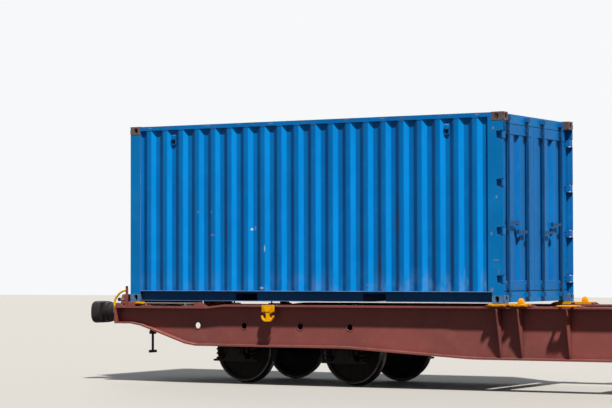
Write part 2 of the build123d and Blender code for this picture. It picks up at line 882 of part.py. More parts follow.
left_plates = [plate for plate in near_plates if plate.bounding_box().max.X <= 0]
near_plates += [mirror(plate, about=Plane.YZ) for plate in left_plates]
near_plates.append(top_flange.part)
save_plates(near_plates, "side_sill_near")
save_plates([mirror(plate, about=Plane.XZ) for plate in near_plates], "side_sill_far")

# Cross bearers between the sills, clear of the bogies
web_inner = WEB_MID_Y - WEB
bearer_top = RAIL + DECK_MID - FLANGE
with BuildPart() as cross_bearers:
    for x in BEARER_PLACES + (pivot - BEARER_FROM_PIVOT,):
        wide = BEARER_WIDTH / 2
        thin = BEARER_PLATE / 2
        low = bearer_top - BEARER_DEPTH
        beam = [
            (-x - wide, bearer_top),
            (-x + wide, bearer_top),
            (-x + wide, bearer_top - BEARER_PLATE),
            (-x + thin, bearer_top - BEARER_PLATE),
            (-x + thin, low + BEARER_PLATE),
            (-x + wide, low + BEARER_PLATE),
            (-x + wide, low),
            (-x - wide, low),
            (-x - wide, low + BEARER_PLATE),
            (-x - thin, low + BEARER_PLATE),
            (-x - thin, bearer_top - BEARER_PLATE),
            (-x - wide, bearer_top - BEARER_PLATE),
        ]
        across(beam, -web_inner, web_inner)
        if x:
            across([(-px, z) for px, z in beam], -web_inner, web_inner)
save(cross_bearers.part, "cross_bearers")

# Bolsters over the bogies, with the pivot that drops into each bogie's bowl
bolster_top = RAIL + DECK_MID - FLANGE
bolster_y = WEB_END_Y - WEB
pivot_seat = RAIL + BOWL_TOP
with BuildPart() as bolsters:
    bolster = [
        (-bolster_y, bolster_top),
        (bolster_y, bolster_top),
        (bolster_y, RAIL + OVER_BOGIE + BOLSTER_RISE),
        (BEARER_Y + BOLSTER_EDGE, RAIL + OVER_BOGIE),
        (-BEARER_Y - BOLSTER_EDGE, RAIL + OVER_BOGIE),
        (-bolster_y, RAIL + OVER_BOGIE + BOLSTER_RISE),
    ]
    along(bolster, -pivot - BOLSTER_WIDTH / 2, -pivot + BOLSTER_WIDTH / 2)
    rod(
        (-pivot, 0, RAIL + OVER_BOGIE),
        (-pivot, 0, pivot_seat - PIVOT_SINK + PIVOT_PLAY),
        BOWL_RADIUS - BOWL_WALL - PIVOT_PLAY,
        sides=BIG_SIDES,
    )
    for side in (-1, 1):
        block(
            (-pivot - SLIDE_BLOCK[0], -pivot + SLIDE_BLOCK[0]),
            (side * (BEARER_Y - SLIDE_BLOCK[1]), side * (BEARER_Y + SLIDE_BLOCK[1])),
            (RAIL + SIDE_BEARER_TOP + PIVOT_PLAY, RAIL + OVER_BOGIE),
        )
    mirror(about=Plane.YZ)
save(bolsters.part, "bolsters")

# Draw-gear longitudinals from the headstocks to the bolsters
with BuildPart() as draw_sills:
    stub_x = (station(HEADSTOCK), -pivot - BOLSTER_WIDTH / 2)
    for side in (-1, 1):
        inner = side * (STUB_Y - STUB_WIDTH / 2)
        outer = side * (STUB_Y + STUB_WIDTH / 2)
        block(stub_x, (inner, outer), (bolster_top - STUB_DEPTH, RAIL + DECK_END))
    mirror(about=Plane.YZ)
save(draw_sills.part, "draw_sills")

# Headstocks with raised parts behind the buffers and the draw hook
ear = (BUFFER_Y - HEADSTOCK_EAR_HALF, BUFFER_Y + HEADSTOCK_EAR_HALF)
headstock_right = [
    (0, RAIL + HEADSTOCK_LOW),
    (FLANGE_EDGE, RAIL + HEADSTOCK_LOW),
    (FLANGE_EDGE, RAIL + DECK_END),
    (ear[1] + HEADSTOCK_EAR_SLOPE, RAIL + DECK_END),
    (ear[1], RAIL + HEADSTOCK_EAR),
    (ear[0], RAIL + HEADSTOCK_EAR),
    (ear[0] - HEADSTOCK_EAR_SLOPE, RAIL + HOOK_TOP),
    (0, RAIL + HOOK_TOP),
]
with BuildPart() as headstocks:
    along(headstock_right, station(-HEADSTOCK), station(0))
    mirror(about=Plane.XZ)
    block(
        (station(-HEADSTOCK), station(0)),
        (-HOOK_SHANK - PIVOT_PLAY, HOOK_SHANK + PIVOT_PLAY),
        (RAIL + BUFFER_Z - HOOK_SHANK, RAIL + BUFFER_Z + HOOK_SHANK),
        Mode.SUBTRACT,
    )
    mirror(about=Plane.YZ)
save(headstocks.part, "headstocks")

# Buffers: fixed casings and moving heads
face = station(-HEADSTOCK)
head_x = station(-BUFFER_LENGTH)
with BuildPart() as buffer_casings:
    for side in (-1, 1):
        centre = (side * BUFFER_Y, RAIL + BUFFER_Z)
        foot = (face - BUFFER_FOOT, *centre)
        along(oblong(centre, (BUFFER_PLATE, BUFFER_PLATE)), foot[0], face)
        rod(foot, (face - BUFFER_CASE, *centre), BUFFER_SLEEVE)
    mirror(about=Plane.YZ)
save(buffer_casings.part, "buffer_casings")
with BuildPart() as buffer_heads:
    for side in (-1, 1):
        centre = (side * BUFFER_Y, RAIL + BUFFER_Z)
        head_back = head_x + BUFFER_HEAD_THICK
        rod((face - BUFFER_CASE, *centre), (head_back, *centre), BUFFER_RADIUS)
        along(oblong(centre, BUFFER_HEAD), head_x, head_back)
    mirror(about=Plane.YZ)
save(buffer_heads.part, "buffer_heads")

# Draw hooks and screw couplings
hook_z = RAIL + BUFFER_Z
with BuildPart() as draw_hooks:
    hook = [(station(-out), hook_z + rise) for out, rise in HOOK_POINTS]
    across(hook, -HOOK_SHANK, HOOK_SHANK)
    mirror(about=Plane.YZ)
save(draw_hooks.part, "draw_hooks")
link_x = station(-LINK_PLACE)
yoke_z = (hook_z - LINK_DROP - YOKE[1] / 2, hook_z - LINK_DROP + YOKE[1] / 2)
with BuildPart() as screw_couplings:
    for side in (-1, 1):
        block(
            (link_x - LINK_WIDTH / 2, link_x + LINK_WIDTH / 2),
            (side * HOOK_SHANK, side * (HOOK_SHANK + LINK_PLATE)),
            (hook_z - LINK_DROP, hook_z + LINK_RISE),
        )
    block(
        (link_x - YOKE[0] / 2, link_x + YOKE[0] / 2),
        (-HOOK_SHANK - LINK_PLATE, HOOK_SHANK + LINK_PLATE),
        yoke_z,
    )
    rod((link_x, 0, hook_z - SCREW_DROP), (link_x, 0, yoke_z[0]), SCREW_RADIUS, sides=SMALL_SIDES)
    block(
        (link_x - SCREW_END[0] / 2, link_x + SCREW_END[0] / 2),
        (-SCREW_END[1] / 2, SCREW_END[1] / 2),
        (hook_z - SCREW_DROP - SCREW_END[2], hook_z - SCREW_DROP),
    )
    mirror(about=Plane.YZ)
save(screw_couplings.part, "screw_couplings")

# Spigots that stand in the corner castings, and their seats on the sills
spigot_y = -(box_y - CASTING_HOLE_Y)
plate_low = RAIL + DECK_MID
with BuildPart() as spigot_seats:
    for x, size, z in (
        (spigot_x[0], SEAT_BODY, (RAIL + DECK_END, plate_low)),
        (spigot_x[0], SEAT_PLATE, (plate_low, box_low)),
        (spigot_x[1], SEAT_PLATE, (plate_low, box_low)),
        (spigot_x[2], SEAT_PLATE, (plate_low, box_low)),
        (spigot_x[3], SEAT_PLATE, (plate_low, box_low)),
        (station(EXTRA_PLACE), SPARE_SEAT, (plate_low, plate_low + SPARE_SEAT[2])),
    ):
        block(
            (x - size[0] / 2, x + size[0] / 2),
            (spigot_y - size[1] / 2, spigot_y + size[1] / 2),
            z,
        )
    mirror(about=Plane.YZ)
    mirror(about=Plane.XZ)
save(spigot_seats.part, "spigot_seats")
with BuildPart() as spigots:
    for x in spigot_x:
        foot = outline(Plane.XY.offset(box_low), oblong((x, spigot_y), SPIGOT_HEAD))
        extrude(foot, amount=SPIGOT_RISE, taper=SPIGOT_TAPER)
    mirror(about=Plane.YZ)
    mirror(about=Plane.XZ)
save(spigots.part, "spigots")

# Spare spigots folded down outside the sills
fold_x = station(FOLDED_PLACE)
fold_top = RAIL + DECK_MID
folded = [(fold_x + out, fold_top - down) for out, down in FOLDED_POINTS]
folded += [(fold_x - out, fold_top - down) for out, down in reversed(FOLDED_POINTS)]
with BuildPart() as folded_spigots:
    across(folded, -FLANGE_EDGE - FOLDED_THICK, -FLANGE_EDGE)
    mirror(about=Plane.YZ)
    mirror(about=Plane.XZ)
save(folded_spigots.part, "folded_spigots")

# Hand rails bent over from the headstocks to upright plates at the four corners
with BuildPart() as handrails:
    with BuildLine() as grip_line:
        Polyline(*[(station(place), -HANDRAIL_Y, RAIL + z) for place, z in HANDRAIL_POINTS])
    with BuildSketch(Plane(origin=grip_line.line @ 0, z_dir=grip_line.line % 0)) as grip_ring:
        RegularPolygon(HANDRAIL_RADIUS, SMALL_SIDES)
    sweep(grip_ring.sketch, path=grip_line.line, transition=Transition.RIGHT)
    mirror(about=Plane.YZ)
    mirror(about=Plane.XZ)
save(handrails.part, "handrails")
with BuildPart() as handrail_plates:
    plate_x = [station(place) for place in HANDRAIL_PLATE]
    upright = [
        (plate_x[0], RAIL + DECK_END),
        (plate_x[2], RAIL + DECK_END),
        (plate_x[2], RAIL + HANDRAIL_PLATE_TOP),
        (plate_x[1], RAIL + HANDRAIL_PLATE_TOP),
        (plate_x[1], RAIL + HANDRAIL_PLATE_KNEE),
    ]
    across(upright, -HANDRAIL_Y - HANDRAIL_PLATE_HALF, -HANDRAIL_Y + HANDRAIL_PLATE_HALF)
    mirror(about=Plane.YZ)
    mirror(about=Plane.XZ)
save(handrail_plates.part, "handrail_plates")

# Air reservoirs hung under two cross bearers by saddles
bearer_low = bearer_top - BEARER_DEPTH
tank_z = bearer_low - TANK_GAP - TANK_RADIUS
with BuildPart() as air_reservoirs:
    for x in TANK_PLACES:
        block(
            (x - TANK_SADDLE / 2, x + TANK_SADDLE / 2),
            (TANK_Y - TANK_SADDLE, TANK_Y + TANK_SADDLE),
            (tank_z, bearer_low),
        )
        tank_ends = [(x + way * TANK_LENGTH / 2, TANK_Y, tank_z) for way in (-1, 1)]
        rod(*tank_ends, TANK_RADIUS, sides=BIG_SIDES)
save(air_reservoirs.part, "air_reservoirs")

# Bogies and wheelsets, each made at the left pivot and repeated at the right one


def disc(x, radii, y, mode=Mode.ADD):
    """A flat ring or disc of a wheel on the near side, from its inner and outer radius."""
    with BuildSketch(Plane(origin=(x, -y[0], axle_z), z_dir=(0, -1, 0))) as ring:
        RegularPolygon(radii[1], WHEEL_SIDES)
        if radii[0]:
            RegularPolygon(radii[0], BAR_SIDES, mode=Mode.SUBTRACT)
    extrude(ring.sketch, amount=y[1] - y[0], mode=mode)


def wheelset(x):
    """An axle with its two wheels and round journals, turning about its own line."""
    inner = BACK_TO_BACK / 2
    middle = (inner + wheel_out) / 2
    rim = WHEEL_RADIUS - RIM_THICK
    with BuildPart() as built:
        disc(x, (0, flange_radius), (inner, inner + FLANGE_WIDTH))
        disc(x, (0, WHEEL_RADIUS), (inner + FLANGE_WIDTH, wheel_out))
        for y in ((inner, middle - DISC_THICK / 2), (middle + DISC_THICK / 2, wheel_out)):
            disc(x, (AXLE_RADIUS, rim), y, Mode.SUBTRACT)
        rod((x, -AXLE_BOX_INNER + WHEEL_GAP, axle_z), (x, 0, axle_z), AXLE_RADIUS)
        with BuildSketch(Plane(origin=(x, -AXLE_BOX_INNER + WHEEL_GAP, axle_z), z_dir=(0, -1, 0))):
            Circle(JOURNAL_RADIUS)
        extrude(amount=JOURNAL_END - AXLE_BOX_INNER + WHEEL_GAP)
        mirror(about=Plane.XZ)
    return built.part


for bogie_name, centre in (("left", -pivot), ("right", pivot)):
    for wheel_name, x in (("outer", WHEELBASE / 2), ("inner", -WHEELBASE / 2)):
        place = centre + (x if centre > 0 else -x)
        save(wheelset(place), f"wheelset_{bogie_name}_{wheel_name}")

# Bogie frame: two side frames and a cross member
spring_edge = WHEELBASE / 2 + SPRING_OFFSET + SPRING_RADIUS + FRAME_EDGE
side_frame = [
    (-FRAME_END, RAIL + FRAME_TOP - FRAME_CUT),
    (-FRAME_END + FRAME_TAPER, RAIL + FRAME_TOP),
    (FRAME_END - FRAME_TAPER, RAIL + FRAME_TOP),
    (FRAME_END, RAIL + FRAME_TOP - FRAME_CUT),
    (FRAME_END, RAIL + FRAME_LOW + FRAME_CUT),
    (spring_edge, RAIL + FRAME_LOW),
    (FRAME_WAIST[0], RAIL + FRAME_LOW),
    (FRAME_WAIST[1], RAIL + CROSS_LOW),
    (-FRAME_WAIST[1], RAIL + CROSS_LOW),
    (-FRAME_WAIST[0], RAIL + FRAME_LOW),
    (-spring_edge, RAIL + FRAME_LOW),
    (-FRAME_END, RAIL + FRAME_LOW + FRAME_CUT),
]
leg_in = AXLE_BOX_RADIUS + LEG_GAP


def at_pivot(points, centre):
    """Moves bogie points to a pivot."""
    return [(x + centre, z) for x, z in points]


def bogie_frame(centre):
    """The rigid frame of one bogie."""
    with BuildPart() as built:
        across(at_pivot(side_frame, centre), *FRAME_Y)
        for axle in (-WHEELBASE / 2, WHEELBASE / 2):
            for way in (-1, 1):
                near = centre + axle + way * leg_in
                block(
                    (near, near + way * LEG_WIDTH),
                    FRAME_Y,
                    (RAIL + LEG_LOW, RAIL + FRAME_LOW + LEG_SINK),
                )
        mirror(about=Plane.XZ)
        cross = [
            (centre - CROSS_WIDTH / 2, RAIL + FRAME_TOP),
            (centre + CROSS_WIDTH / 2, RAIL + FRAME_TOP),
            (centre + CROSS_WIDTH / 2, RAIL + CROSS_LOW),
            (centre - CROSS_WIDTH / 2, RAIL + CROSS_LOW),
        ]
        across(cross, -FRAME_Y[0], FRAME_Y[0])
    return built.part


def bogie_bowl(centre):
    """The open bowl that takes the pivot, and the side bearers."""
    with BuildPart() as built:
        low = RAIL + FRAME_TOP
        rod((centre, 0, low), (centre, 0, pivot_seat), BOWL_RADIUS, sides=BIG_SIDES)
        sunk = (centre, 0, pivot_seat - PIVOT_SINK)
        bore = BOWL_RADIUS - BOWL_WALL
        rod(sunk, (centre, 0, pivot_seat), bore, Mode.SUBTRACT, BIG_SIDES)
        for side in (-1, 1):
            block(
                (centre - SIDE_BEARER[0], centre + SIDE_BEARER[0]),
                (side * (BEARER_Y - SIDE_BEARER[1]), side * (BEARER_Y + SIDE_BEARER[1])),
                (low, RAIL + SIDE_BEARER_TOP),
            )
    return built.part


def axle_boxes(centre):
    """Bearing housings with spring wings, open to the journals."""
    with BuildPart() as built:
        for axle in (-WHEELBASE / 2, WHEELBASE / 2):
            x = centre + axle
            box_ends = ((x, AXLE_BOX_INNER, axle_z), (x, AXLE_BOX_OUTER, axle_z))
            rod(*box_ends, AXLE_BOX_RADIUS, sides=SMALL_SIDES)
            block(
                (x - WING, x + WING),
                (JOURNAL_Y - WING_HALF, JOURNAL_Y + WING_HALF),
                (RAIL + WING_Z, RAIL + WING_Z + WING_PLATE),
            )
            block(
                (x - BOX_FOOT, x + BOX_FOOT),
                (JOURNAL_Y - WING_HALF + FOOT_STEP, JOURNAL_Y + WING_HALF - FOOT_STEP),
                (RAIL + WING_Z, axle_z),
            )
            rod(
                (x, AXLE_BOX_INNER, axle_z),
                (x, JOURNAL_END + END_PLAY, axle_z),
                JOURNAL_RADIUS + BORE_PLAY,
                Mode.SUBTRACT,
            )
        mirror(about=Plane.XZ)
    return built.part


def springs(centre):
    """Spring columns between the wings and the frame, two to each axle box."""
    low = RAIL + WING_Z + WING_PLATE
    high = RAIL + FRAME_LOW
    spring_y = sum(FRAME_Y) / 2
    with BuildPart() as built:
        for axle in (-WHEELBASE / 2, WHEELBASE / 2):
            for way in (-1, 1):
                x = centre + axle + way * SPRING_OFFSET
                rod((x, spring_y, low), (x, spring_y, high), SPRING_RADIUS, sides=SMALL_SIDES)
        mirror(about=Plane.XZ)
    return built.part


def brake_shoe(axle, way, y):
    """A curved block facing the wheel's tread on one side."""
    near = WHEEL_RADIUS + BLOCK_GAP
    far = near + BLOCK_THICK
    with BuildPart() as built:
        ends = ((axle, y[0], axle_z), (axle, y[1], axle_z))
        rod(*ends, far, sides=WHEEL_SIDES)
        rod(*ends, near, Mode.SUBTRACT, WHEEL_SIDES)
        block(
            (axle, axle + way * far),
            y,
            (axle_z - BLOCK_REACH, axle_z + BLOCK_REACH),
            Mode.INTERSECT,
        )
    return built.part


def brakes(centre):
    """Curved brake blocks on the inner side of each wheel, on beams held by the cross member."""
    mid = (BACK_TO_BACK / 2 + FLANGE_WIDTH + wheel_out) / 2
    shoe_y = (mid - BLOCK_WIDTH / 2, mid + BLOCK_WIDTH / 2)
    beam_z = RAIL + CROSS_LOW + BEAM_RADIUS
    with BuildPart() as built:
        for way in (-1, 1):
            axle = centre - way * WHEELBASE / 2
            add(brake_shoe(axle, way, shoe_y))
            beam_x = axle + way * (WHEEL_RADIUS + BLOCK_GAP + BLOCK_THICK + BEAM_RADIUS - BEAM_SINK)
            rod((beam_x, 0, beam_z), (beam_x, shoe_y[1], beam_z), BEAM_RADIUS, sides=SMALL_SIDES)
            block(
                (beam_x, centre - way * CROSS_WIDTH / 2),
                (HANGER_Y - HANGER_PLATE, HANGER_Y + HANGER_PLATE),
                (beam_z - BEAM_RADIUS, beam_z + BEAM_RADIUS),
            )
        mirror(about=Plane.XZ)
    return built.part


for bogie_name, centre in (("left", -pivot), ("right", pivot)):
    save(bogie_frame(centre), f"bogie_{bogie_name}_frame")
    save(bogie_bowl(centre), f"bogie_{bogie_name}_bowl")
    save(axle_boxes(centre), f"bogie_{bogie_name}_axle_boxes")
    save(springs(centre), f"bogie_{bogie_name}_springs")
    save(brakes(centre), f"bogie_{bogie_name}_brakes")
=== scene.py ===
import json
from math import cos, pi, radians, sin

import bmesh
import bpy
from mathutils import Matrix, Vector, noise


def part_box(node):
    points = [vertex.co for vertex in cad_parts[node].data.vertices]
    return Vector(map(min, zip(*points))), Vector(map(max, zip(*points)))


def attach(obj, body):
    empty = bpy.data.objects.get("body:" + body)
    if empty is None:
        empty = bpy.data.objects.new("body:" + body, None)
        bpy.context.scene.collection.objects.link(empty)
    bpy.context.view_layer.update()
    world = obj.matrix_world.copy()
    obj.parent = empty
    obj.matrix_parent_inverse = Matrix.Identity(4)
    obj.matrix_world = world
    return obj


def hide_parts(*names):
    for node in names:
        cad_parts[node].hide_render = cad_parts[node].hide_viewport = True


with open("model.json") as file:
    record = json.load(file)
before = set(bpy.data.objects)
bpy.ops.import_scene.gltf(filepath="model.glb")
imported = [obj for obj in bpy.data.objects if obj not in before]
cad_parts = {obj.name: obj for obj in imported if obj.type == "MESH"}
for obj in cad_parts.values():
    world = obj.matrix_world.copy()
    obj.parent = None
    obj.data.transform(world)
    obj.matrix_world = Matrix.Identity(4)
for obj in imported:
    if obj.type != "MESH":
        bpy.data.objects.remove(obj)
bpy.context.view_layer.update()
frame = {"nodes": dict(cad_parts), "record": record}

# Sizes in metres, in the frame of the CAD model: x along the wagon, y across it, z up
# The wagon: half its underframe, top of the rail, face of the web, edge of the deck, thickness of the
# flanges, then a bogie's pivot, half its wheelbase and the height of its axles
HALF = 12.4915
RAIL = 0.028
WEB_FACE = 1.17
DECK_EDGE = 1.276
PLATE = 0.026
PIVOT = 9.65
HALF_BASE = 0.9
AXLE_Z = 0.488
# The container: ends, half its width, foot, top, faces of its walls and doors, widths of its end posts
BOX = (-12.2765, -6.2185)
BOX_Y = 1.219
LOW = 1.183
TOP = 3.774
SKIN = 1.216
DOOR_FACE = BOX[1] - 0.084
POST = 0.178
DOOR_POST = 0.235
# The wall sheets: first fold from the blind end, pitch, depth, widths of a slope and of a front, radius,
# thickness of the sheet, rows of points and depth of a dent
FOLD_FIRST = 0.2635
FOLD_PITCH = 0.2788
FOLD_DEPTH = 0.036
FOLD_SLOPE = 0.068
FOLD_FLAT = 0.0728
FOLD_ROUND = 0.016
SHEET = 0.004
SHEET_ROWS = 24
DENT = 0.0012
# Directions of the axes
X, Y, Z = Vector((1, 0, 0)), Vector((0, 1, 0)), Vector((0, 0, 1))
# Spigots on the left half, and how far from the middle of the wagon the row stands
SPIGOT_X = (-12.174, -6.321, -6.009, -0.156)
SEAT_Y = -1.1295


# Meshes
def circle(n, shift=0.0):
    """Cosine and sine of n even turns."""
    turns = [2 * pi * (i + shift) / n for i in range(n)]
    return [(cos(t), sin(t)) for t in turns]


class Kit:
    """Collects simple forms into one mesh."""

    def __init__(self):
        self.verts = []
        self.faces = []

    def add(self, verts, faces):
        start = len(self.verts)
        self.verts += [Vector(v) for v in verts]
        self.faces += [[i + start for i in f] for f in faces]

    def loft(self, rings, closed=True, caps=True):
        """Joins rings of the same number of points."""
        n = len(rings[0])
        verts = [p for ring in rings for p in ring]
        faces = []
        for r in range(len(rings) - 1):
            for i in range(n if closed else n - 1):
                j = (i + 1) % n
                faces.append([r * n + i, r * n + j, (r + 1) * n + j, (r + 1) * n + i])
        if caps:
            faces.append(list(range(n))[::-1])
            faces.append(list(range((len(rings) - 1) * n, len(rings) * n)))
        self.add(verts, faces)

    def plate(self, points, low, high, axis):
        """A flat outline given in the two other axes, thick from low to high on one axis."""
        self.loft([placed(points, low, axis), placed(points, high, axis)])

    def box(self, x, y, z):
        self.plate(rectangle(sorted(x), sorted(y)), *sorted(z), "z")

    def lathe(self, profile, centre, axis, sides=48):
        """Turns (radius, distance along the axis) points about an axis, open at both ends."""
        side = axis.orthogonal().normalized()
        other = axis.cross(side)
        rings = []
        for r, d in profile:
            middle = Vector(centre) + axis * d
            r = max(r, 1e-5)
            rings.append([middle + (side * c + other * s) * r for c, s in circle(sides)])
        self.loft(rings, caps=False)

    def tube(self, points, radius, sides=10, closed=False):
        """A round bar through points."""
        points = [Vector(p) for p in points]
        rings = []
        up = None
        n = len(points)
        for i, p in enumerate(points):
            a = points[(i - 1) % n] if closed or i else p
            b = points[(i + 1) % n] if closed or i < n - 1 else p
            t = (b - a).normalized()
            if up is None:
                up = t.orthogonal().normalized()
            up = (up - t * up.dot(t)).normalized()
            other = t.cross(up)
            rings.append([p + (up * c + other * s) * radius for c, s in circle(sides)])
        if closed:
            rings.append(rings[0])
        self.loft(rings, caps=not closed)

    def bolt(self, place, way, size=0.012, washer=True):
        """A hexagon head standing on a face or on its washer."""
        foot = 0
        if washer:
            foot = size * 0.18
            wide = size * 1.25
            self.lathe([(0, 0), (wide, 0), (wide, foot), (0, foot)], place, way, 16)
        side = foot + size * 0.62
        top = foot + size * 0.75
        self.lathe([(size, foot), (size, side), (size * 0.82, top), (0, top)], place, way, 6)

    def ring(self, outer, inner, low, high, axis):
        """A plate with a hole: both outlines have the same number of points."""
        n = len(outer)
        faces = []
        for i in range(n):
            j = (i + 1) % n
            faces.append([i, j, n + j, n + i])
            faces.append([2 * n + i, 3 * n + i, 3 * n + j, 2 * n + j])
            faces.append([i, 2 * n + i, 2 * n + j, j])
            faces.append([n + i, n + j, 3 * n + j, 3 * n + i])
        self.add(placed(outer + inner, low, axis) + placed(outer + inner, high, axis), faces)

    def make(self, name, look, replaces=(), slot=None, mirror="", bevel=0, sharp=35, body="root"):
        """Makes the object with a copy on each mirrored side, smooth but for edges over an angle."""
        for axis in mirror:
            flip = Matrix.Scale(-1, 3, {"x": X, "y": Y}[axis])
            self.add([flip @ v for v in self.verts], [f[::-1] for f in self.faces])
        mesh = bpy.data.meshes.new(name)
        mesh.from_pydata([tuple(v) for v in self.verts], [], self.faces)
        mesh.update()
        mesh.validate()
        work = bmesh.new()
        work.from_mesh(mesh)
        bmesh.ops.remove_doubles(work, verts=work.verts, dist=2e-5)
        bmesh.ops.recalc_face_normals(work, faces=work.faces)
        work.to_mesh(mesh)
        work.free()
        mesh.materials.append(looks[look])
        mesh.shade_smooth()
        mesh.set_sharp_from_angle(angle=radians(sharp))
        obj = new_object(name, mesh)
        if bevel:
            add_bevel(obj, bevel)
        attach(obj, body)
        if replaces:
            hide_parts(*replaces)


def new_object(name, data):
    obj = bpy.data.objects.new(name, data)
    bpy.context.scene.collection.objects.link(obj)
    return obj


def add_bevel(obj, width, weld=False):
    if weld:
        join = obj.modifiers.new("weld", "WELD")
        join.merge_threshold = 1e-5
    edge = obj.modifiers.new("bevel", "BEVEL")
    edge.width = width
    edge.segments = 2
    edge.limit_method = "ANGLE"
    edge.angle_limit = radians(28)


def rounded(points, radius, steps=4, closed=False):
    """Rounds the corners of a 2-D or 3-D line."""
    points = [Vector(p) for p in points]
    n = len(points)
    out = []
    for i, p in enumerate(points):
        if not closed and i in (0, n - 1):
            out.append(p)
            continue
        a = points[(i - 1) % n] - p
        b = points[(i + 1) % n] - p
        reach = min(radius, a.length * 0.49, b.length * 0.49)
        a = p + a.normalized() * reach
        b = p + b.normalized() * reach
        for k in range(steps + 1):
            t = k / steps
            out.append(a * (1 - t) ** 2 + p * 2 * t * (1 - t) + b * t ** 2)
    return out


def placed(points, d, axis):
    """A flat outline's points in space, at a place on the third axis."""
    return [{"x": (d, u, v), "y": (u, d, v), "z": (u, v, d)}[axis] for u, v in points]


def rectangle(u, v):
    """Corners of a rectangle from its two spans."""
    return [(u[0], v[0]), (u[1], v[0]), (u[1], v[1]), (u[0], v[1])]


def both_sides(half):
    """A closed outline from its half."""
    return half + [(-u, v) for u, v in reversed(half) if u]


def slot_line(u, v, length, height, n=40):
    """Points of a rounded slot."""
    r = min(length, height) / 2
    a, b = length / 2 - r, height / 2 - r
    return [
        (u + (a if c > 0 else -a) + r * c, v + (b if s > 0 else -b) + r * s) for c, s in circle(n, 0.5)
    ]


def square_line(u, v, length, height, aim, n=40):
    """Points of a rectangle, spread by angle about a point so that they match slot_line."""
    out = []
    for d in circle(n, 0.5):
        reach = []
        for axis, mid, size in ((0, u - aim[0], length / 2), (1, v - aim[1], height / 2)):
            if abs(d[axis]) > 1e-9:
                reach.append((mid + (size if d[axis] > 0 else -size)) / d[axis])
        out.append((aim[0] + d[0] * min(reach), aim[1] + d[1] * min(reach)))
    return out


# Materials
def srgb(*c):
    return tuple(((v / 255 + 0.055) / 1.055) ** 2.4 if v > 10 else v / 255 / 12.92 for v in c) + (1,)


looks = {}


class Look:
    """A node material, kept by its name, with short names for the nodes it uses."""

    def __init__(self, name, metallic=0.0, gloss=0.5):
        looks[name] = bpy.data.materials.new(name)
        looks[name].use_nodes = True
        self.tree = looks[name].node_tree
        self.bsdf = self.tree.nodes["Principled BSDF"]
        self.bsdf.inputs["Metallic"].default_value = metallic
        self.bsdf.inputs["Specular IOR Level"].default_value = gloss
        self.coord = self.node("TexCoord").outputs["Object"]
        split = self.node("SeparateXYZ")
        self.link(self.coord, split.inputs[0])
        self.x, _, self.z = split.outputs
        self.colour = None

    def node(self, kind, **values):
        node = self.tree.nodes.new("ShaderNode" + kind)
        for key, value in values.items():
            setattr(node, key, value)
        return node

    def link(self, a, b):
        self.tree.links.new(a, b)

    def put(self, socket, value):
        if isinstance(value, bpy.types.NodeSocket):
            self.link(value, socket)
        else:
            socket.default_value = value

    def math(self, op, a, b=0.0, clamp=False):
        node = self.node("Math", operation=op, use_clamp=clamp)
        self.put(node.inputs[0], a)
        self.put(node.inputs[1], b)
        return node.outputs[0]

    def plus(self, a, b, clamp=False):
        return self.math("ADD", a, b, clamp)

    def minus(self, a, b):
        return self.math("SUBTRACT", a, b)

    def times(self, a, b, clamp=False):
        return self.math("MULTIPLY", a, b, clamp)

    def span(self, value, low, high, out_low=0.0, out_high=1.0):
        """Eases from one value to the other while the input goes from low to high."""
        node = self.node("MapRange", interpolation_type="SMOOTHSTEP")
        self.put(node.inputs["Value"], value)
        for key, v in (("From Min", low), ("From Max", high), ("To Min", out_low), ("To Max", out_high)):
            node.inputs[key].default_value = v
        return node.outputs["Result"]

    def noise(self, scale, detail=3.0, rough=0.55, stretch=(1, 1, 1), shift=0.0):
        place = self.node("Mapping")
        self.link(self.coord, place.inputs["Vector"])
        place.inputs["Scale"].default_value = stretch
        place.inputs["Location"].default_value = (shift, shift * 0.7, shift * 1.3)
        node = self.node("TexNoise")
        self.link(place.outputs[0], node.inputs["Vector"])
        node.inputs["Scale"].default_value = scale
        node.inputs["Detail"].default_value = detail
        node.inputs["Roughness"].default_value = rough
        return node.outputs["Fac"]

    def mix(self, fac, a, b):
        node = self.node("Mix", data_type="RGBA")
        self.put(node.inputs["Factor"], fac)
        self.put(node.inputs[6], a)
        self.put(node.inputs[7], b)
        return node.outputs[2]

    def first(self, value, a, b, low=0.3):
        """Starts the colour as a mix of two tones."""
        self.colour = self.mix(self.span(value, low, 0.7), a, b)

    def lay(self, fac, tone):
        """Lays a tone over the colour so far."""
        self.colour = self.mix(fac, self.colour, tone)

    def edges(self, radius):
        """Near 1 on outside and inside edges."""
        bevel = self.node("Bevel", samples=4)
        bevel.inputs["Radius"].default_value = radius
        flat = self.node("NewGeometry")
        dot = self.node("VectorMath", operation="DOT_PRODUCT")
        self.link(bevel.outputs[0], dot.inputs[0])
        self.link(flat.outputs["Normal"], dot.inputs[1])
        return self.span(self.minus(1.0, dot.outputs["Value"]), 0.02, 0.25)

    def bump(self, height, strength=0.3, distance=0.001):
        node = self.node("Bump")
        node.inputs["Strength"].default_value = strength
        node.inputs["Distance"].default_value = distance
        self.link(height, node.inputs["Height"])
        return node.outputs[0]

    def finish(self, roughness, normal=None):
        self.link(self.colour, self.bsdf.inputs["Base Color"])
        self.put(self.bsdf.inputs["Roughness"], roughness)
        if normal is not None:
            self.link(normal, self.bsdf.inputs["Normal"])


RUST = srgb(96, 58, 42)
RUST_DARK = srgb(58, 38, 32)
DUST = srgb(150, 134, 118)
SHADE = (0.004, 0.004, 0.005, 1)
PAINT_GLOSS = 0.1
STEEL_GLOSS = 0.5
DULL_GLOSS = 0.12


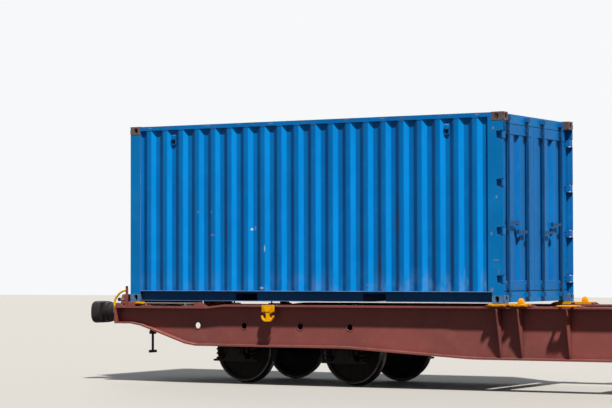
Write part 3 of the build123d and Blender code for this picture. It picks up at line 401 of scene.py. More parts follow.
def fold_shade_and_highlight(look, seed):
    """Painted shade on the slopes that face the blind end, darker purple-grey patches on them that grow
    towards the bottom, and a painted highlight in paler patches on the other slopes.
    """
    start = BOX[0] + FOLD_FIRST + FOLD_SLOPE / 2
    part = look.math("FRACT", look.math("DIVIDE", look.minus(look.x, start), FOLD_PITCH))
    slope = look.span(part, 0.745, 0.775)
    painted_highlight = look.times(look.span(part, 0.25, 0.28), look.span(part, 0.49, 0.52, 1.0, 0.0))
    patch = look.noise(1.0, 4, 0.65, stretch=(3.6, 1, 0.8), shift=seed + 11)
    # painted highlight on the other slopes
    pale = look.times(painted_highlight, look.span(patch, 0.3, 0.7, 1.0, 0.6))
    look.lay(pale, srgb(0, 146, 230))
    # painted shade on the slopes that face the blind end
    dark = look.times(slope, look.span(patch, 0.3, 0.7, 0.5, 0.8))
    look.lay(dark, srgb(1, 66, 118))
    # darker purple-grey patches on the shaded slopes, stronger towards the bottom
    low = look.span(look.z, 1.3, 3.2, 1.0, 0.15)
    low_dark_patches = look.times(look.times(slope, look.span(patch, 0.55, 0.66)), low)
    look.lay(look.times(low_dark_patches, 0.7), srgb(62, 58, 84))


def rubbed_marks(look, heights, seed):
    """Pale rubbed marks that fade out between two heights."""
    rubbed = look.noise(1.0, 4, 0.6, stretch=(5, 1, 2.4), shift=seed + 15)
    low = look.span(look.z, heights[0], heights[1], 1.0, 0.0)
    along = look.span(look.x, -10.6, -7.0, 0.25, 1.0)
    rubbed = look.times(look.times(look.span(rubbed, 0.42, 0.66), low), along)
    look.lay(look.times(rubbed, 0.55), srgb(112, 152, 208))


def smears(look, spots, ragged):
    """Small spots with ragged edges, from rows of x, z, half width, half height and colour."""
    for x, z, wide, high, tone in spots:
        u = look.math("DIVIDE", look.minus(look.x, x), wide)
        v = look.math("DIVIDE", look.minus(look.z, z), high)
        far = look.plus(look.plus(look.times(u, u), look.times(v, v)), look.times(ragged, 1.3))
        look.lay(look.span(far, 1.2, 2.2, 0.8, 0.0), srgb(*tone))


def painted(name, base, dark, pale, wear=1.0, dust=0.3, dirt=0.3, rough=(0.4, 0.6), edge=0.006,
            folds=False, rubbed=None, spots=(), hollow=0.5, seed=0.0):
    """Old paint: uneven colour, runs of dirt, painted shade and highlight on folds, chips with rust on
    edges and faces, painted shade in hollows, dust, fine grain.
    """
    look = Look(name, gloss=PAINT_GLOSS)
    base = srgb(*base)
    big = look.noise(0.9, 4, 0.6, shift=seed)
    mid = look.noise(5.5, 5, 0.6, shift=seed + 3)
    fine = look.noise(90, 3, 0.6, shift=seed + 5)
    look.first(big, srgb(*dark), base, 0.32)
    look.lay(look.times(look.span(mid, 0.5, 0.78), 0.4), srgb(*pale))
    # runs of dirt down the sides
    run = look.noise(1.0, 4, 0.6, stretch=(26, 26, 0.9), shift=seed + 7)
    patches = look.span(look.noise(1.6, 3, shift=seed + 9), 0.35, 0.7)
    run = look.times(look.span(run, 0.5, 0.76), patches)
    look.lay(look.times(run, dirt), RUST_DARK)
    # painted shade and painted highlight on the folds of corrugated sheets
    if folds:
        fold_shade_and_highlight(look, seed)
    if rubbed:
        rubbed_marks(look, rubbed, seed)
    # chips down to rust
    edges = look.edges(edge)
    flake = look.noise(30, 6, 0.7, shift=seed + 13)
    chip_edge = look.times(look.span(look.plus(flake, look.times(edges, 0.24)), 0.66, 0.7), edges)
    rare = look.times(look.span(flake, 0.7, 0.73), look.span(mid, 0.55, 0.62))
    chip = look.times(look.plus(chip_edge, rare, True), wear, True)
    around = look.times(look.span(flake, 0.6, 0.7), look.times(look.span(mid, 0.5, 0.66), 0.4 * wear))
    look.lay(around, look.mix(0.5, base, RUST))
    look.lay(chip, look.mix(look.span(fine, 0.35, 0.65), RUST, RUST_DARK))
    if spots:
        smears(look, spots, look.plus(flake, mid))
    # painted shade in hollows and corners, strongest where the ambient occlusion is lowest
    inner = look.node("AmbientOcclusion", samples=6)
    inner.inputs["Distance"].default_value = 0.12
    painted_shade = look.span(inner.outputs["AO"], 0.25, 0.85, hollow, 0.0)
    look.lay(painted_shade, look.mix(0.7, base, SHADE))
    # dust on faces that look up
    turned = look.node("NewGeometry")
    tip = look.node("SeparateXYZ")
    look.link(turned.outputs["Normal"], tip.inputs[0])
    lying = look.plus(look.times(look.span(tip.outputs[2], 0.3, 0.95), 0.9), 0.06)
    dusty = look.times(lying, look.span(mid, 0.25, 0.7))
    look.lay(look.times(dusty, dust, True), DUST)
    uneven = look.plus(look.times(mid, 0.6), look.times(chip, 0.5))
    roughness = look.span(uneven, 0.2, 0.9, rough[0], rough[1] + 0.15)
    height = look.minus(look.times(fine, 0.25), chip)
    look.finish(roughness, look.bump(height, 0.35, 0.0012))


def bare(name, base, dark, rough, metallic, rust, seed):
    """Worn steel or iron with rust in patches."""
    look = Look(name, metallic, STEEL_GLOSS if metallic > 0.3 else DULL_GLOSS)
    mid = look.noise(7, 5, 0.65, shift=seed)
    fine = look.noise(120, 3, 0.6, shift=seed + 2)
    look.first(mid, srgb(*dark), srgb(*base))
    patch = look.span(look.plus(mid, look.times(fine, 0.25)), 0.58, 0.72)
    look.lay(look.times(patch, rust), RUST)
    look.finish(look.span(fine, 0.2, 0.8, rough[0], rough[1]), look.bump(fine))


# Spots on the paint: x, z, half width, half height, colour
WHITISH = (196, 204, 216)
PINKISH = (168, 132, 140)
PALE_BLUE = (84, 150, 206)
SIDE_SPOTS = (
    (-11.085, 2.495, 0.012, 0.03, PINKISH), (-10.86, 2.491, 0.012, 0.03, PINKISH),
    (-10.835, 2.157, 0.05, 0.012, PINKISH), (-10.183, 2.232, 0.024, 0.024, (236, 240, 246)),
    (-10.128, 2.25, 0.01, 0.04, PINKISH), (-9.958, 1.948, 0.012, 0.06, WHITISH),
    (-10.009, 1.39, 0.05, 0.02, WHITISH), (-8.252, 1.436, 0.1, 0.03, (70, 134, 196)),
    (-7.096, 1.5, 0.034, 0.12, (50, 140, 204)), (-6.815, 1.56, 0.024, 0.17, (66, 146, 208)),
    (-6.775, 1.48, 0.02, 0.09, PALE_BLUE), (-6.558, 1.5, 0.022, 0.15, (60, 144, 206)),
    (-6.516, 1.44, 0.016, 0.07, PALE_BLUE),
)
POST_SPOTS = (
    (-6.37, 3.553, 0.02, 0.03, (150, 140, 150)), (-6.324, 2.622, 0.018, 0.026, (170, 160, 150)),
    (-6.4, 2.132, 0.016, 0.03, (140, 150, 165)), (-6.336, 1.775, 0.07, 0.012, (130, 140, 165)),
    (-6.397, 1.372, 0.03, 0.04, (150, 130, 140)), (-6.3, 1.62, 0.016, 0.05, (120, 110, 120)),
)
CHIP_TONES = ((150, 110, 84), (170, 160, 150), (110, 84, 76))
CHIP_X = (-12.03, -11.92, -11.6, -10.95, -10.9, -10.79, -10.38, -9.86, -9.31, -8.62, -8.05, -7.74,
          -7.02, -6.61)
RAIL_SPOTS = tuple(
    (x, 3.752 - 0.006 * (i % 3), 0.03 + 0.014 * (i % 4), 0.006 + 0.003 * (i % 2), CHIP_TONES[i % 3])
    for i, x in enumerate(CHIP_X)
)

# Paints: base, dark and pale colour, then what differs from the usual values
BLUE = (0, 121, 200), (0, 110, 186), (0, 132, 212)
painted("container_paint", *BLUE, wear=0.7, dirt=0.12, rough=(0.4, 0.55))
# the side sheets get painted shade and painted highlight on their folds
painted("container_side_paint", *BLUE, wear=0.35, dust=0.1, dirt=0.06, rough=(0.4, 0.55), folds=True,
        rubbed=(1.35, 1.72), spots=SIDE_SPOTS, hollow=0.35, seed=4)
painted("container_post_paint", (0, 128, 204), (2, 118, 188), (24, 140, 206), dust=0.2, dirt=0.15,
        edge=0.01, spots=POST_SPOTS, seed=6)
painted("container_rail_paint", *BLUE, wear=0.9, dust=0.2, dirt=0.2, spots=RAIL_SPOTS, seed=8)
# a darker copy of the container blue: painted shade for the bottom rails and the floor members
painted("container_low_rail_shade_paint", (0, 76, 130), (0, 62, 112), (8, 88, 142), dirt=0.4, seed=9)
painted("door_paint", *BLUE, wear=0.8, dust=0.2, dirt=0.2, rough=(0.4, 0.55), seed=11)
painted("roof_paint", (16, 92, 150), (20, 80, 128), (46, 112, 160), wear=0.9, rough=(0.5, 0.7), seed=14)
painted("fitting_paint", (8, 84, 138), (10, 62, 104), (40, 106, 156), dirt=0.4, rough=(0.38, 0.62), seed=16)
# pale paint of the beads on edges: painted highlight, partly worn paint
painted("edge_highlight_paint", (120, 158, 200), (70, 124, 184), (160, 176, 200), wear=0.8, rough=(0.5, 0.7), seed=17)
painted("casting_paint", (122, 104, 100), (92, 80, 82), (150, 134, 126), dust=0.4, dirt=0.5,
        rough=(0.5, 0.75), edge=0.012, seed=18)
painted("worn_casting_paint", (112, 142, 178), (44, 110, 168), (176, 182, 188), dust=0.4,
        rough=(0.5, 0.75), edge=0.012, seed=19)
# the underframe's paint gets the strongest painted shade in its hollows
painted("wagon_paint", (150, 82, 77), (132, 76, 73), (160, 98, 92), wear=0.6, dust=0.45, dirt=0.22,
        rough=(0.5, 0.7), hollow=0.75, seed=21)
# dark bogie paint, made near black as painted shade under the wagon
painted("bogie_paint", (22, 20, 20), (15, 14, 14), (32, 28, 27), wear=0.6, dust=0.35, dirt=0.4,
        rough=(0.6, 0.85), seed=24)
painted("yellow_paint", (242, 170, 2), (222, 148, 2), (246, 188, 14), wear=0.9, dust=0.1, dirt=0.35,
        edge=0.008, seed=27)
# a brighter copy of the yellow paint for the bosses: a painted highlight
painted("boss_highlight_paint", (255, 194, 8), (246, 172, 4), (255, 206, 30), wear=0.9, dust=0.1, edge=0.004, seed=29)
painted("handrail_paint", (250, 196, 8), (234, 170, 6), (255, 214, 50), wear=0.5, dust=0.1, dirt=0.15,
        rough=(0.35, 0.5), seed=33)
painted("tank_paint", (46, 40, 39), (34, 30, 30), (70, 60, 56), wear=0.6, dust=0.4, rough=(0.38, 0.62),
        seed=29)
# Steels: base and dark colour, roughness, metallic, share of rust, seed
bare("buffer_steel", (48, 46, 46), (32, 31, 32), (0.45, 0.7), 0.0, 0.12, 3)
# dark wheel steel, made near black as painted shade under the wagon
bare("wheel_steel", (20, 18, 18), (12, 11, 11), (0.6, 0.85), 0.0, 0.12, 5)
bare("tread_steel", (84, 82, 80), (56, 53, 51), (0.35, 0.55), 1.0, 0.1, 7)
bare("spring_steel", (28, 25, 24), (17, 15, 15), (0.5, 0.8), 0.0, 0.15, 9)
bare("rod_steel", (176, 168, 156), (140, 130, 120), (0.4, 0.6), 0.2, 0.25, 10)

# Plywood boards with dark seams and stains
look = Look("floor_plywood")
grain = look.noise(1.0, 6, 0.6, stretch=(2.2, 40, 40))
board = look.math("FRACT", look.times(look.x, 1 / 1.2))
seam = look.span(look.math("ABSOLUTE", look.minus(board, 0.5)), 0.494, 0.498)
look.first(grain, srgb(112, 74, 44), srgb(150, 106, 68))
stain = look.noise(2.2, 4, 0.6, shift=3)
look.lay(look.times(look.span(stain, 0.5, 0.7), 0.5), srgb(70, 52, 40))
look.lay(seam, srgb(30, 24, 20))
look.finish(look.span(stain, 0.3, 0.7, 0.45, 0.7), look.bump(grain))

look = Look("door_rubber")
fine = look.noise(60, 4, 0.6)
look.first(fine, srgb(18, 18, 19), srgb(40, 39, 38))
look.finish(look.span(fine, 0.2, 0.8, 0.6, 0.85), look.bump(fine, 0.4))

# near-black sheet colour: painted shade inside the ventilator openings
look = Look("vent_shade_dark")
look.first(look.noise(20), srgb(8, 10, 14), srgb(20, 22, 26))
look.finish(0.9)

# Looks of the CAD model's own pieces: of slots with another name than their look, then of single pieces
SLOT_LOOKS = {
    "casting_steel": "casting_paint", "floor_wood": "floor_plywood", "vent_plastic": "container_paint",
    "galvanised_steel": "fitting_paint",
}
SPECIAL = {
    "container_roof": "roof_paint", "container_bottom_rails": "container_low_rail_shade_paint",
    "container_top_rails": "container_rail_paint", "container_front_frame": "container_post_paint",
    "container_door_frame": "container_post_paint", "container_floor_members": "container_low_rail_shade_paint",
    "door_near_leaf": "door_paint", "door_far_leaf": "door_paint",
}
# Width of the bevel on the CAD model's edges
BEVELS = {
    0.0015: ["container_bottom_rails"],
    0.002: ["container_door_frame", "container_front_frame", "container_keepers", "container_hinge_pins",
            "cross_bearers", "handrail_plates", "side_sill_near", "side_sill_far"],
    0.003: ["container_roof", "bogie_left_bowl", "bogie_right_bowl"],
    0.004: ["door_near_leaf", "door_far_leaf", "bolsters", "headstocks", "draw_sills"],
    0.005: ["screw_couplings"],
    0.006: ["container_top_rails", "spigot_seats"],
    0.008: ["bogie_left_frame", "bogie_right_frame"],
    0.012: ["draw_hooks"],
}
bevel_of = {name: width for width, names in BEVELS.items() for name in names}
slots = {row["node"]: row["material_slot"] for row in frame["record"]["subparts"]}
for name, obj in frame["nodes"].items():
    slot = slots[name]
    material = looks[SPECIAL.get(name, SLOT_LOOKS.get(slot, slot))]
    if not obj.material_slots:
        obj.data.materials.append(material)
    for entry in obj.material_slots:
        entry.material = material
    if name in bevel_of:
        add_bevel(obj, bevel_of[name], weld=True)


# Container
def wave_line(start, end, first, count, pitch, slope, flat, back, front):
    """A folded line from start to end: each fold leaves the back, runs along the front and returns."""
    points = [(start, back)]
    for i in range(count):
        x = first + i * pitch
        points += [(x, back), (x + slope, front), (x + slope + flat, front), (x + 2 * slope + flat, back)]
    return points + [(end, back)]


def folded_sheet(line, low, high, place):
    """A corrugated sheet with rounded folds and slight dents, set by place(along, out, up)."""
    line = rounded(line, FOLD_ROUND, 3)
    outer, inner = [], []
    for k in range(SHEET_ROWS + 1):
        z = low + (high - low) * k / SHEET_ROWS
        ease = min(1.0, 4 * min(k, SHEET_ROWS - k) / SHEET_ROWS)
        bent = []
        for u, w in line:
            broad = noise.noise(Vector((u * 1.7, z * 1.3, 3.1)))
            small = noise.noise(Vector((u * 5.1, z * 3.7, 9.4)))
            bent.append((u, w + DENT * ease * (broad + 0.6 * small)))
        outer.append([place(u, w, z) for u, w in bent])
        inner.append([place(u, w + SHEET, z) for u, w in bent][::-1])
    sheet = Kit()
    sheet.loft(outer, closed=False, caps=False)
    sheet.loft(inner, closed=False, caps=False)
    return sheet


# side walls: twenty folds between the posts, with a step back beside each post
STEP = 0.003
side = [(BOX[0] + POST, -SKIN)]
side += wave_line(
    BOX[0] + POST + STEP, BOX[1] - DOOR_POST - STEP, BOX[0] + FOLD_FIRST - FOLD_SLOPE / 2, 20,
    FOLD_PITCH, FOLD_SLOPE, FOLD_FLAT, FOLD_DEPTH - SKIN, -SKIN)
side.append((BOX[1] - DOOR_POST, -SKIN))
SHEET_FOOT = LOW + 0.163
for way, name in ((1, "near"), (-1, "far")):
    sheet = folded_sheet(side, SHEET_FOOT, TOP - 0.068, lambda u, w, z: (u, way * w, z))
    sheet.make(f"corrugated_side_{name}", "container_side_paint", [f"container_side_{name}"],
               slot="container_paint", sharp=60)
    bead = Kit()
    for z in (LOW + 0.165, TOP - 0.071):
        bead.tube([(u, way * (w - 0.0005), z) for u, w in rounded(side, FOLD_ROUND, 2)], 0.0035, 6)
    bead.make(f"side_weld_{name}", "container_rail_paint", slot="container_paint")

# pale beads on edges, painted highlights that are partly worn paint: lip of the bottom rail, edge of the
# top rail, lower edge of the bottom rail, end post
lips, under = Kit(), Kit()
STATIONS = 60
lip_x = [BOX[0] + 0.18 + i * (BOX[1] - BOX[0] - 0.36) / STATIONS for i in range(STATIONS + 1)]
wander = [0.0012 * noise.noise(Vector((x * 2.1, 0, 5))) for x in lip_x]
for kit, y, z, radius, sides in (
    (lips, -SKIN - 0.0005, LOW + 0.1605, 0.0042, 8),
    (lips, -SKIN + 0.002, TOP - 0.0085, 0.0038, 8),
    (under, -SKIN + 0.0165, LOW + 0.0195, 0.003, 6),
):
    kit.tube([(x, y, z + w) for x, w in zip(lip_x, wander)], radius, sides)
post_z = [LOW + 0.125 + i * (TOP - LOW - 0.25) / 30 for i in range(31)]
lips.tube([(BOX[0] + POST + 0.0005, -SKIN + 0.0005, z) for z in post_z], 0.0028, 6)
lips.make("rail_lips", "edge_highlight_paint", slot="container_paint", mirror="y")
under.make("bottom_rail_edges", "edge_highlight_paint", slot="container_paint", mirror="y")

# blind end: eight folds, whose pitch, first slope and front are scaled to its width
END_FOLDS = 8
END_PITCH, END_FIRST, END_FLAT = 0.278, 0.035, 0.07
end_half = SKIN - 0.105
end_pitch = 2 * end_half / END_FOLDS
scale = end_pitch / END_PITCH
end = wave_line(-end_half, end_half, END_FIRST * scale - end_half, END_FOLDS, end_pitch,
                FOLD_SLOPE * scale, END_FLAT * scale, BOX[0] + 0.011, BOX[0] + 0.047)
sheet = folded_sheet(end, SHEET_FOOT, TOP - 0.126, lambda u, w, z: (w, u, z))
sheet.make("corrugated_front", "container_paint", ["container_front_wall"], sharp=60)

# corner fittings: hollow blocks with a slot in each outer face
X0, Y0, Z0 = BOX[0], -BOX_Y, LOW
X1, Y1, Z1 = X0 + 0.178, Y0 + 0.162, Z0 + 0.118
WALL = 0.026
slot_x, slot_y, slot_z = X0 + 0.1025, Y0 + 0.0895, Z0 + 0.062
TOP_SLOT = (0.124, 0.0635)
SIDE_SLOT = (0.051, 0.079)
LIP = 0.004
corner = Kit()


def holed(u, v, middle, slot, low, axis):
    """A wall of a fitting with its slot, whose outer lip is chamfered in one step."""
    centre = ((u[0] + u[1]) / 2, (v[0] + v[1]) / 2)
    outer = square_line(*centre, u[1] - u[0], v[1] - v[0], middle)
    lip = slot_line(*middle, slot[0] + 2 * LIP, slot[1] + 2 * LIP)
    corner.ring(outer, lip, low, low + WALL, axis)
    corner.ring(lip, slot_line(*middle, *slot), low + LIP, low + WALL, axis)


above = (Z0 + WALL, Z1)
holed((X0, X1), (Y0, Y1), (slot_x, slot_y), TOP_SLOT, Z0, "z")
holed((X0, X1), above, (slot_x, slot_z), SIDE_SLOT, Y0, "y")
holed((Y0 + WALL, Y1), above, (slot_y, slot_z), SIDE_SLOT, X0, "x")
corner.box((X0 + WALL, X1), (Y1 - WALL, Y1), above)
corner.box((X1 - WALL, X1), (Y0 + WALL, Y1 - WALL), above)
corner.box((X0 + WALL, X1 - WALL), (Y0 + WALL, Y1 - WALL), (Z1 - WALL, Z1))
top_corners, low_corners = Kit(), Kit()
for fx in (0, 1):
    for fz in (0, 1):
        for fy in (0, 1):
            verts = [
                (sum(BOX) - v.x if fx else v.x, -v.y if fy else v.y, LOW + TOP - v.z if fz else v.z)
                for v in corner.verts
            ]
            flip = (fx + fy + fz) % 2
            kit = top_corners if fz else low_corners
            kit.add(verts, [f[::-1] if flip else f for f in corner.faces])
top_corners.make("corner_fittings_top", "casting_paint", ["container_castings"], slot="casting_steel",
                 bevel=0.004)
low_corners.make("corner_fittings_bottom", "worn_casting_paint", slot="casting_steel", bevel=0.004)

# ventilators: a hood over a near-black plate that paints the shade in the opening, with one bar, and two
# rivets
vents, opening_shades = Kit(), Kit()
VENT_Z = TOP - 0.226
VENT_BACK = -1.181
VENT_FACE = -1.2178
# the hood's rings: width, foot and top over the middle, y
HOOD = (
    (0.07, 0.01, 0.088, VENT_BACK), (0.07, 0.01, 0.088, -1.2),
    (0.066, 0.014, 0.076, -1.2165), (0.058, 0.02, 0.068, VENT_FACE),
)
RIVET = [(0.0035, 0), (0.0035, 0.0005), (0.002, 0.0009), (0, 0.001)]


def vent_line(x, wide, low, high):
    """A rounded rectangle in the plane of the wall."""
    corners = rectangle((x - wide / 2, x + wide / 2), (VENT_Z + low, VENT_Z + high))
    return rounded(corners, 0.008, 3, True)


for x in (BOX[0] + 0.76, BOX[1] - 0.85):
    vents.loft([placed(vent_line(x, wide, low, high), y, "y") for wide, low, high, y in HOOD])
    vents.ring(vent_line(x, 0.07, -0.056, 0.014), vent_line(x, 0.054, -0.047, 0.006),
               -1.202, VENT_BACK, "y")
    opening_shades.plate(vent_line(x, 0.058, -0.05, 0.01), -1.186, -1.182, "y")
    vents.box((x - 0.027, x + 0.027), (-1.196, -1.186), (VENT_Z - 0.0215, VENT_Z - 0.0185))
    for u in (-0.022, 0.022):
        vents.lathe(RIVET, (x + u, VENT_FACE, VENT_Z + 0.055), -Y, 10)
vents.make("ventilator_hoods", "container_paint", ["container_vents"], mirror="y")
opening_shades.make("ventilator_opening_shades", "vent_shade_dark", slot="container_paint", mirror="y")


# Wagon body
# Outlines of the side sill, alike at both ends: distance from the end, then height of the belly and of
# the deck over the rail, and distance of the web from the middle
BELLY = (
    (0, 0.832), (0.235, 0.832), (0.413, 0.804), (1.194, 0.547), (1.37, 0.52), (3.775, 0.52),
    (3.954, 0.514), (5.675, 0.406), (5.855, 0.4), (HALF, 0.4),
)
DECK = ((0, 1.09), (1.595, 1.09), (1.865, 1.12), (HALF, 1.12))
WEB = ((0, WEB_FACE), (3.955, WEB_FACE), (5.465, 1.09), (HALF, 1.09))
WEB_HOLES = (1.375, 2.165, 3.095, 3.895)
HOLE_Z = 0.815


def follow(line, x):
    """Value of an outline at a place."""
    s = HALF - abs(x)
    for a, b in zip(line, line[1:]):
        if s <= b[0]:
            return a[1] + (b[1] - a[1]) * (s - a[0]) / (b[0] - a[0])
    return line[-1][1]


def from_end(points, base=RAIL):
    """Places from the end of the underframe inward and from a height up."""
    return [(s - HALF, base + z) for s, z in points]


welds = Kit()
INSET = 0.02
bends = [p[0] for line in (BELLY, DECK, WEB) for p in line if 0 < p[0] < HALF]
stations = {round(-HALF + INSET + i * 0.25, 3) for i in range(101)}
stations |= {way * (HALF - b) for b in bends for way in (-1, 1)}
stations = sorted(x for x in stations if x <= HALF - INSET)
# fillet welds along the flanges, then a ring round each hole in the web and its cut edge
WELD_OUT = 0.002
for line, way in ((BELLY, 1), (DECK, -1)):
    lift = RAIL + way * (PLATE + WELD_OUT)
    welds.tube([(x, -follow(WEB, x) - WELD_OUT, follow(line, x) + lift) for x in stations], 0.0055, 6)
HOLE_RING = [(0.0448, -0.004), (0.06, -0.004), (0.06, 0.0), (0.0448, 0.0)]
CUT_EDGE = [(0.0448, 0.0), (0.0462, 0.0), (0.0462, 0.014), (0.0448, 0.014), (0.0448, 0.0)]
for x in (way * (s - HALF) for way in (-1, 1) for s in WEB_HOLES):
    welds.lathe(HOLE_RING, (x, -WEB_FACE, RAIL + HOLE_Z), Y, 40)
    welds.lathe(CUT_EDGE, (x, -WEB_FACE - WELD_OUT, RAIL + HOLE_Z), Y, 40)
welds.make("sill_welds", "wagon_paint", mirror="y")

# spigots with rounded heads: height over the seat, share of the full size
SPIGOT_RINGS = ((0, 1.0), (0.03, 1.0), (0.04, 0.93), (0.062, 0.72), (0.072, 0.5), (0.076, 0.3))
spigots = Kit()
for x in SPIGOT_X:
    spigots.loft([
        placed(slot_line(x, SEAT_Y, 0.098 * grow, 0.052 * grow, 32), LOW + z, "z")
        for z, grow in SPIGOT_RINGS
    ])
spigots.make("spigot_heads", "yellow_paint", ["spigots"], mirror="xy", sharp=40)

# spare spigots folded down outside the sills: block, neck and curved saddle with raised hooks
arms, bosses = Kit(), Kit()
FOLD_X = 2.64 - HALF
FOLD_TOP = RAIL + 1.12
ARM_BACK, ARM_FACE, HOOK_FACE, NECK_FACE, BOSS_FACE = -1.281, -1.316, -1.3305, -1.326, -1.3325
# half outlines: across from the middle, down from the deck
HOOK_TIP = [(0.099, 0.15), (0.097, 0.172), (0.088, 0.198), (0.07, 0.22), (0.044, 0.232), (0.0, 0.2335)]
ARM = [
    (0.099, 0.0), (0.099, 0.09), (0.09, 0.102), (0.064, 0.107), (0.044, 0.12), (0.032, 0.14),
    (0.03, 0.165), (0.04, 0.186), (0.056, 0.192), (0.072, 0.18), (0.08, 0.162), (0.082, 0.15),
] + HOOK_TIP
HOOK = HOOK_TIP + [(0.0, 0.213), (0.038, 0.21), (0.06, 0.197), (0.076, 0.178), (0.083, 0.152)]
BOSS = rounded([(-0.048, 0.03), (0.048, 0.03), (0.04, 0.096), (-0.04, 0.096)], 0.012, 3, True)
NECK = [(-0.024, 0.094), (0.024, 0.094), (0.017, 0.216), (-0.017, 0.216)]


def hung(points, way=1):
    """Places a folded spigot's outline under the deck."""
    return [(FOLD_X + way * u, FOLD_TOP - v) for u, v in points]


arms.plate(hung(both_sides(ARM)), ARM_FACE, ARM_BACK, "y")
for line, face in ((hung(HOOK, -1), HOOK_FACE), (hung(HOOK), HOOK_FACE), (hung(BOSS), BOSS_FACE),
                   (hung(NECK), NECK_FACE)):
    bosses.plate(line, face, ARM_FACE + 0.001, "y")
for u in (-0.078, 0.078):
    bosses.bolt((FOLD_X + u, ARM_FACE, FOLD_TOP - 0.045), -Y, 0.007, washer=False)
arms.make("folded_spigot_arms", "yellow_paint", ["folded_spigots"], mirror="xy", bevel=0.005)
# the bosses in the brighter yellow, a painted highlight
bosses.make("folded_spigot_bosses", "boss_highlight_paint", slot="yellow_paint", mirror="xy", bevel=0.002)

# seat brackets: hinged jaws outside each seat, brown wedges beside it
jaws, wedges = Kit(), Kit()
SEAT_EDGE = -1.2185
REACH = -1.2735
JAW = [
    (-0.118, SEAT_EDGE), (-0.118, REACH + 0.02), (-0.098, REACH), (-0.06, REACH), (-0.045, REACH + 0.022),
]
END_JAW = [(0.02, SEAT_EDGE), (0.02, REACH), (0.17, REACH), (0.17, SEAT_EDGE)]
WEDGE_TOP = LOW - 0.008
for x in SPIGOT_X:
    foot = RAIL + follow(DECK, x) + 0.0005
    knuckles = [(-0.112, -0.05), (0.05, 0.112)]
    outline = both_sides(JAW)
    if x == SPIGOT_X[0]:
        wedges.box((x - 0.128, x + 0.016), (-1.262, -1.2195), (foot, LOW - 0.006))
        knuckles.pop(0)
        outline = rounded(END_JAW, 0.012, 3, True)
    jaws.plate([(x + u, v) for u, v in outline], LOW - 0.032, LOW - 0.003, "z")
    for ends in knuckles:
        jaws.tube([(x + u, REACH + 0.01, LOW - 0.016) for u in ends], 0.0135, 14)
    for way in (-1, 1):
        near, far = x + way * 0.1255, x + way * 0.195
        if abs(near) > 0.06 and abs(far) > 0.03:
            slope = [(near, foot), (far, foot), (near + way * 0.02, WEDGE_TOP), (near, WEDGE_TOP)]
            for y in (-1.212, -1.062):
                wedges.plate(slope, y, y + 0.014, "y")
            web = rectangle((near, near + way * 0.012), (foot, WEDGE_TOP))
            wedges.plate(web, -1.198, -1.062, "y")

# the low spare seat folds outward beyond the flange
SPARE_X = 7.17 - HALF
for u in (-0.085, 0.085):
    jaws.box((SPARE_X + u - 0.022, SPARE_X + u + 0.022), (-1.265, -1.2), (RAIL + 1.123, RAIL + 1.141))
SPARE_JAW = [(-0.108, -1.262), (-0.112, -1.3), (-0.085, -1.33)]
jaws.plate([(SPARE_X + u, v) for u, v in both_sides(SPARE_JAW)], RAIL + 1.124, RAIL + 1.142, "z")
for way in (-1, 1):
    near, far = SPARE_X + way * 0.1455, SPARE_X + way * 0.215
    for y in (-1.2, -1.062):
        wedges.plate([(near, RAIL + 1.1205), (far, RAIL + 1.1205), (near, RAIL + 1.138)], y, y + 0.014, "y")
jaws.make("seat_jaws", "yellow_paint", mirror="xy", bevel=0.003)
wedges.make("seat_wedges", "wagon_paint", mirror="xy", bevel=0.002)

# brackets on the low part of the deck: flat plates, a box bracket, gussets behind the headstock, bolts
brackets, rods, caps = Kit(), Kit(), Kit()
DECK_Z = RAIL + 1.09
for start, end, thick in ((0.445, 0.615, 0.016), (1.165, 1.415, 0.014)):
    brackets.box((start - HALF, end - HALF), (-DECK_EDGE, -1.19), (DECK_Z, DECK_Z + thick))
CHEEK = from_end([(1.375, 0.0), (1.575, 0.0), (1.5, 0.03), (1.465, 0.062), (1.375, 0.062)], DECK_Z)
GUSSET = from_end([(0.002, 0.0), (0.13, 0.0), (0.06, 0.042), (0.002, 0.05)], DECK_Z)
for outline, y in ((CHEEK, -1.27), (CHEEK, -1.205), (GUSSET, -1.262), (GUSSET, -1.15)):
    brackets.plate(outline, y, y + 0.012, "y")
brackets.box((1.378 - HALF, 1.462 - HALF), (-1.262, -1.205), (DECK_Z + 0.05, DECK_Z + 0.061))
for s, z in ((0.48, 0.016), (0.58, 0.016), (1.2, 0.014), (1.36, 0.014)):
    brackets.bolt((s - HALF, -1.245, DECK_Z + z), Z, 0.01)
brackets.make("deck_brackets", "wagon_paint", mirror="xy", bevel=0.002)

# light rod on its two stands, and the light pipe end by the hand rail
ROD = from_end([(0.43, 1.137), (0.8, 1.136), (1.1, 1.136), (1.455, 1.138)])
PIPE = from_end([(0.03, 1.187), (0.08, 1.187), (0.13, 1.187)])
PIPE_Y = -1.205
rods.tube(placed(ROD, -1.236, "y"), 0.0075)
for s in (0.52, 1.2):
    rods.box((s - 0.008 - HALF, s + 0.008 - HALF), (-1.246, -1.226), (DECK_Z + 0.012, RAIL + 1.137))
rods.tube(placed(PIPE, PIPE_Y, "y"), 0.02, 16)
COLLAR = [(0.02, 0), (0.024, 0.002), (0.024, 0.012), (0.02, 0.014)]
rods.lathe(COLLAR, (0.075 - HALF, PIPE_Y, PIPE[0][1]), X, 24)
rods.make("deck_rods", "rod_steel", slot="wagon_paint", mirror="xy")

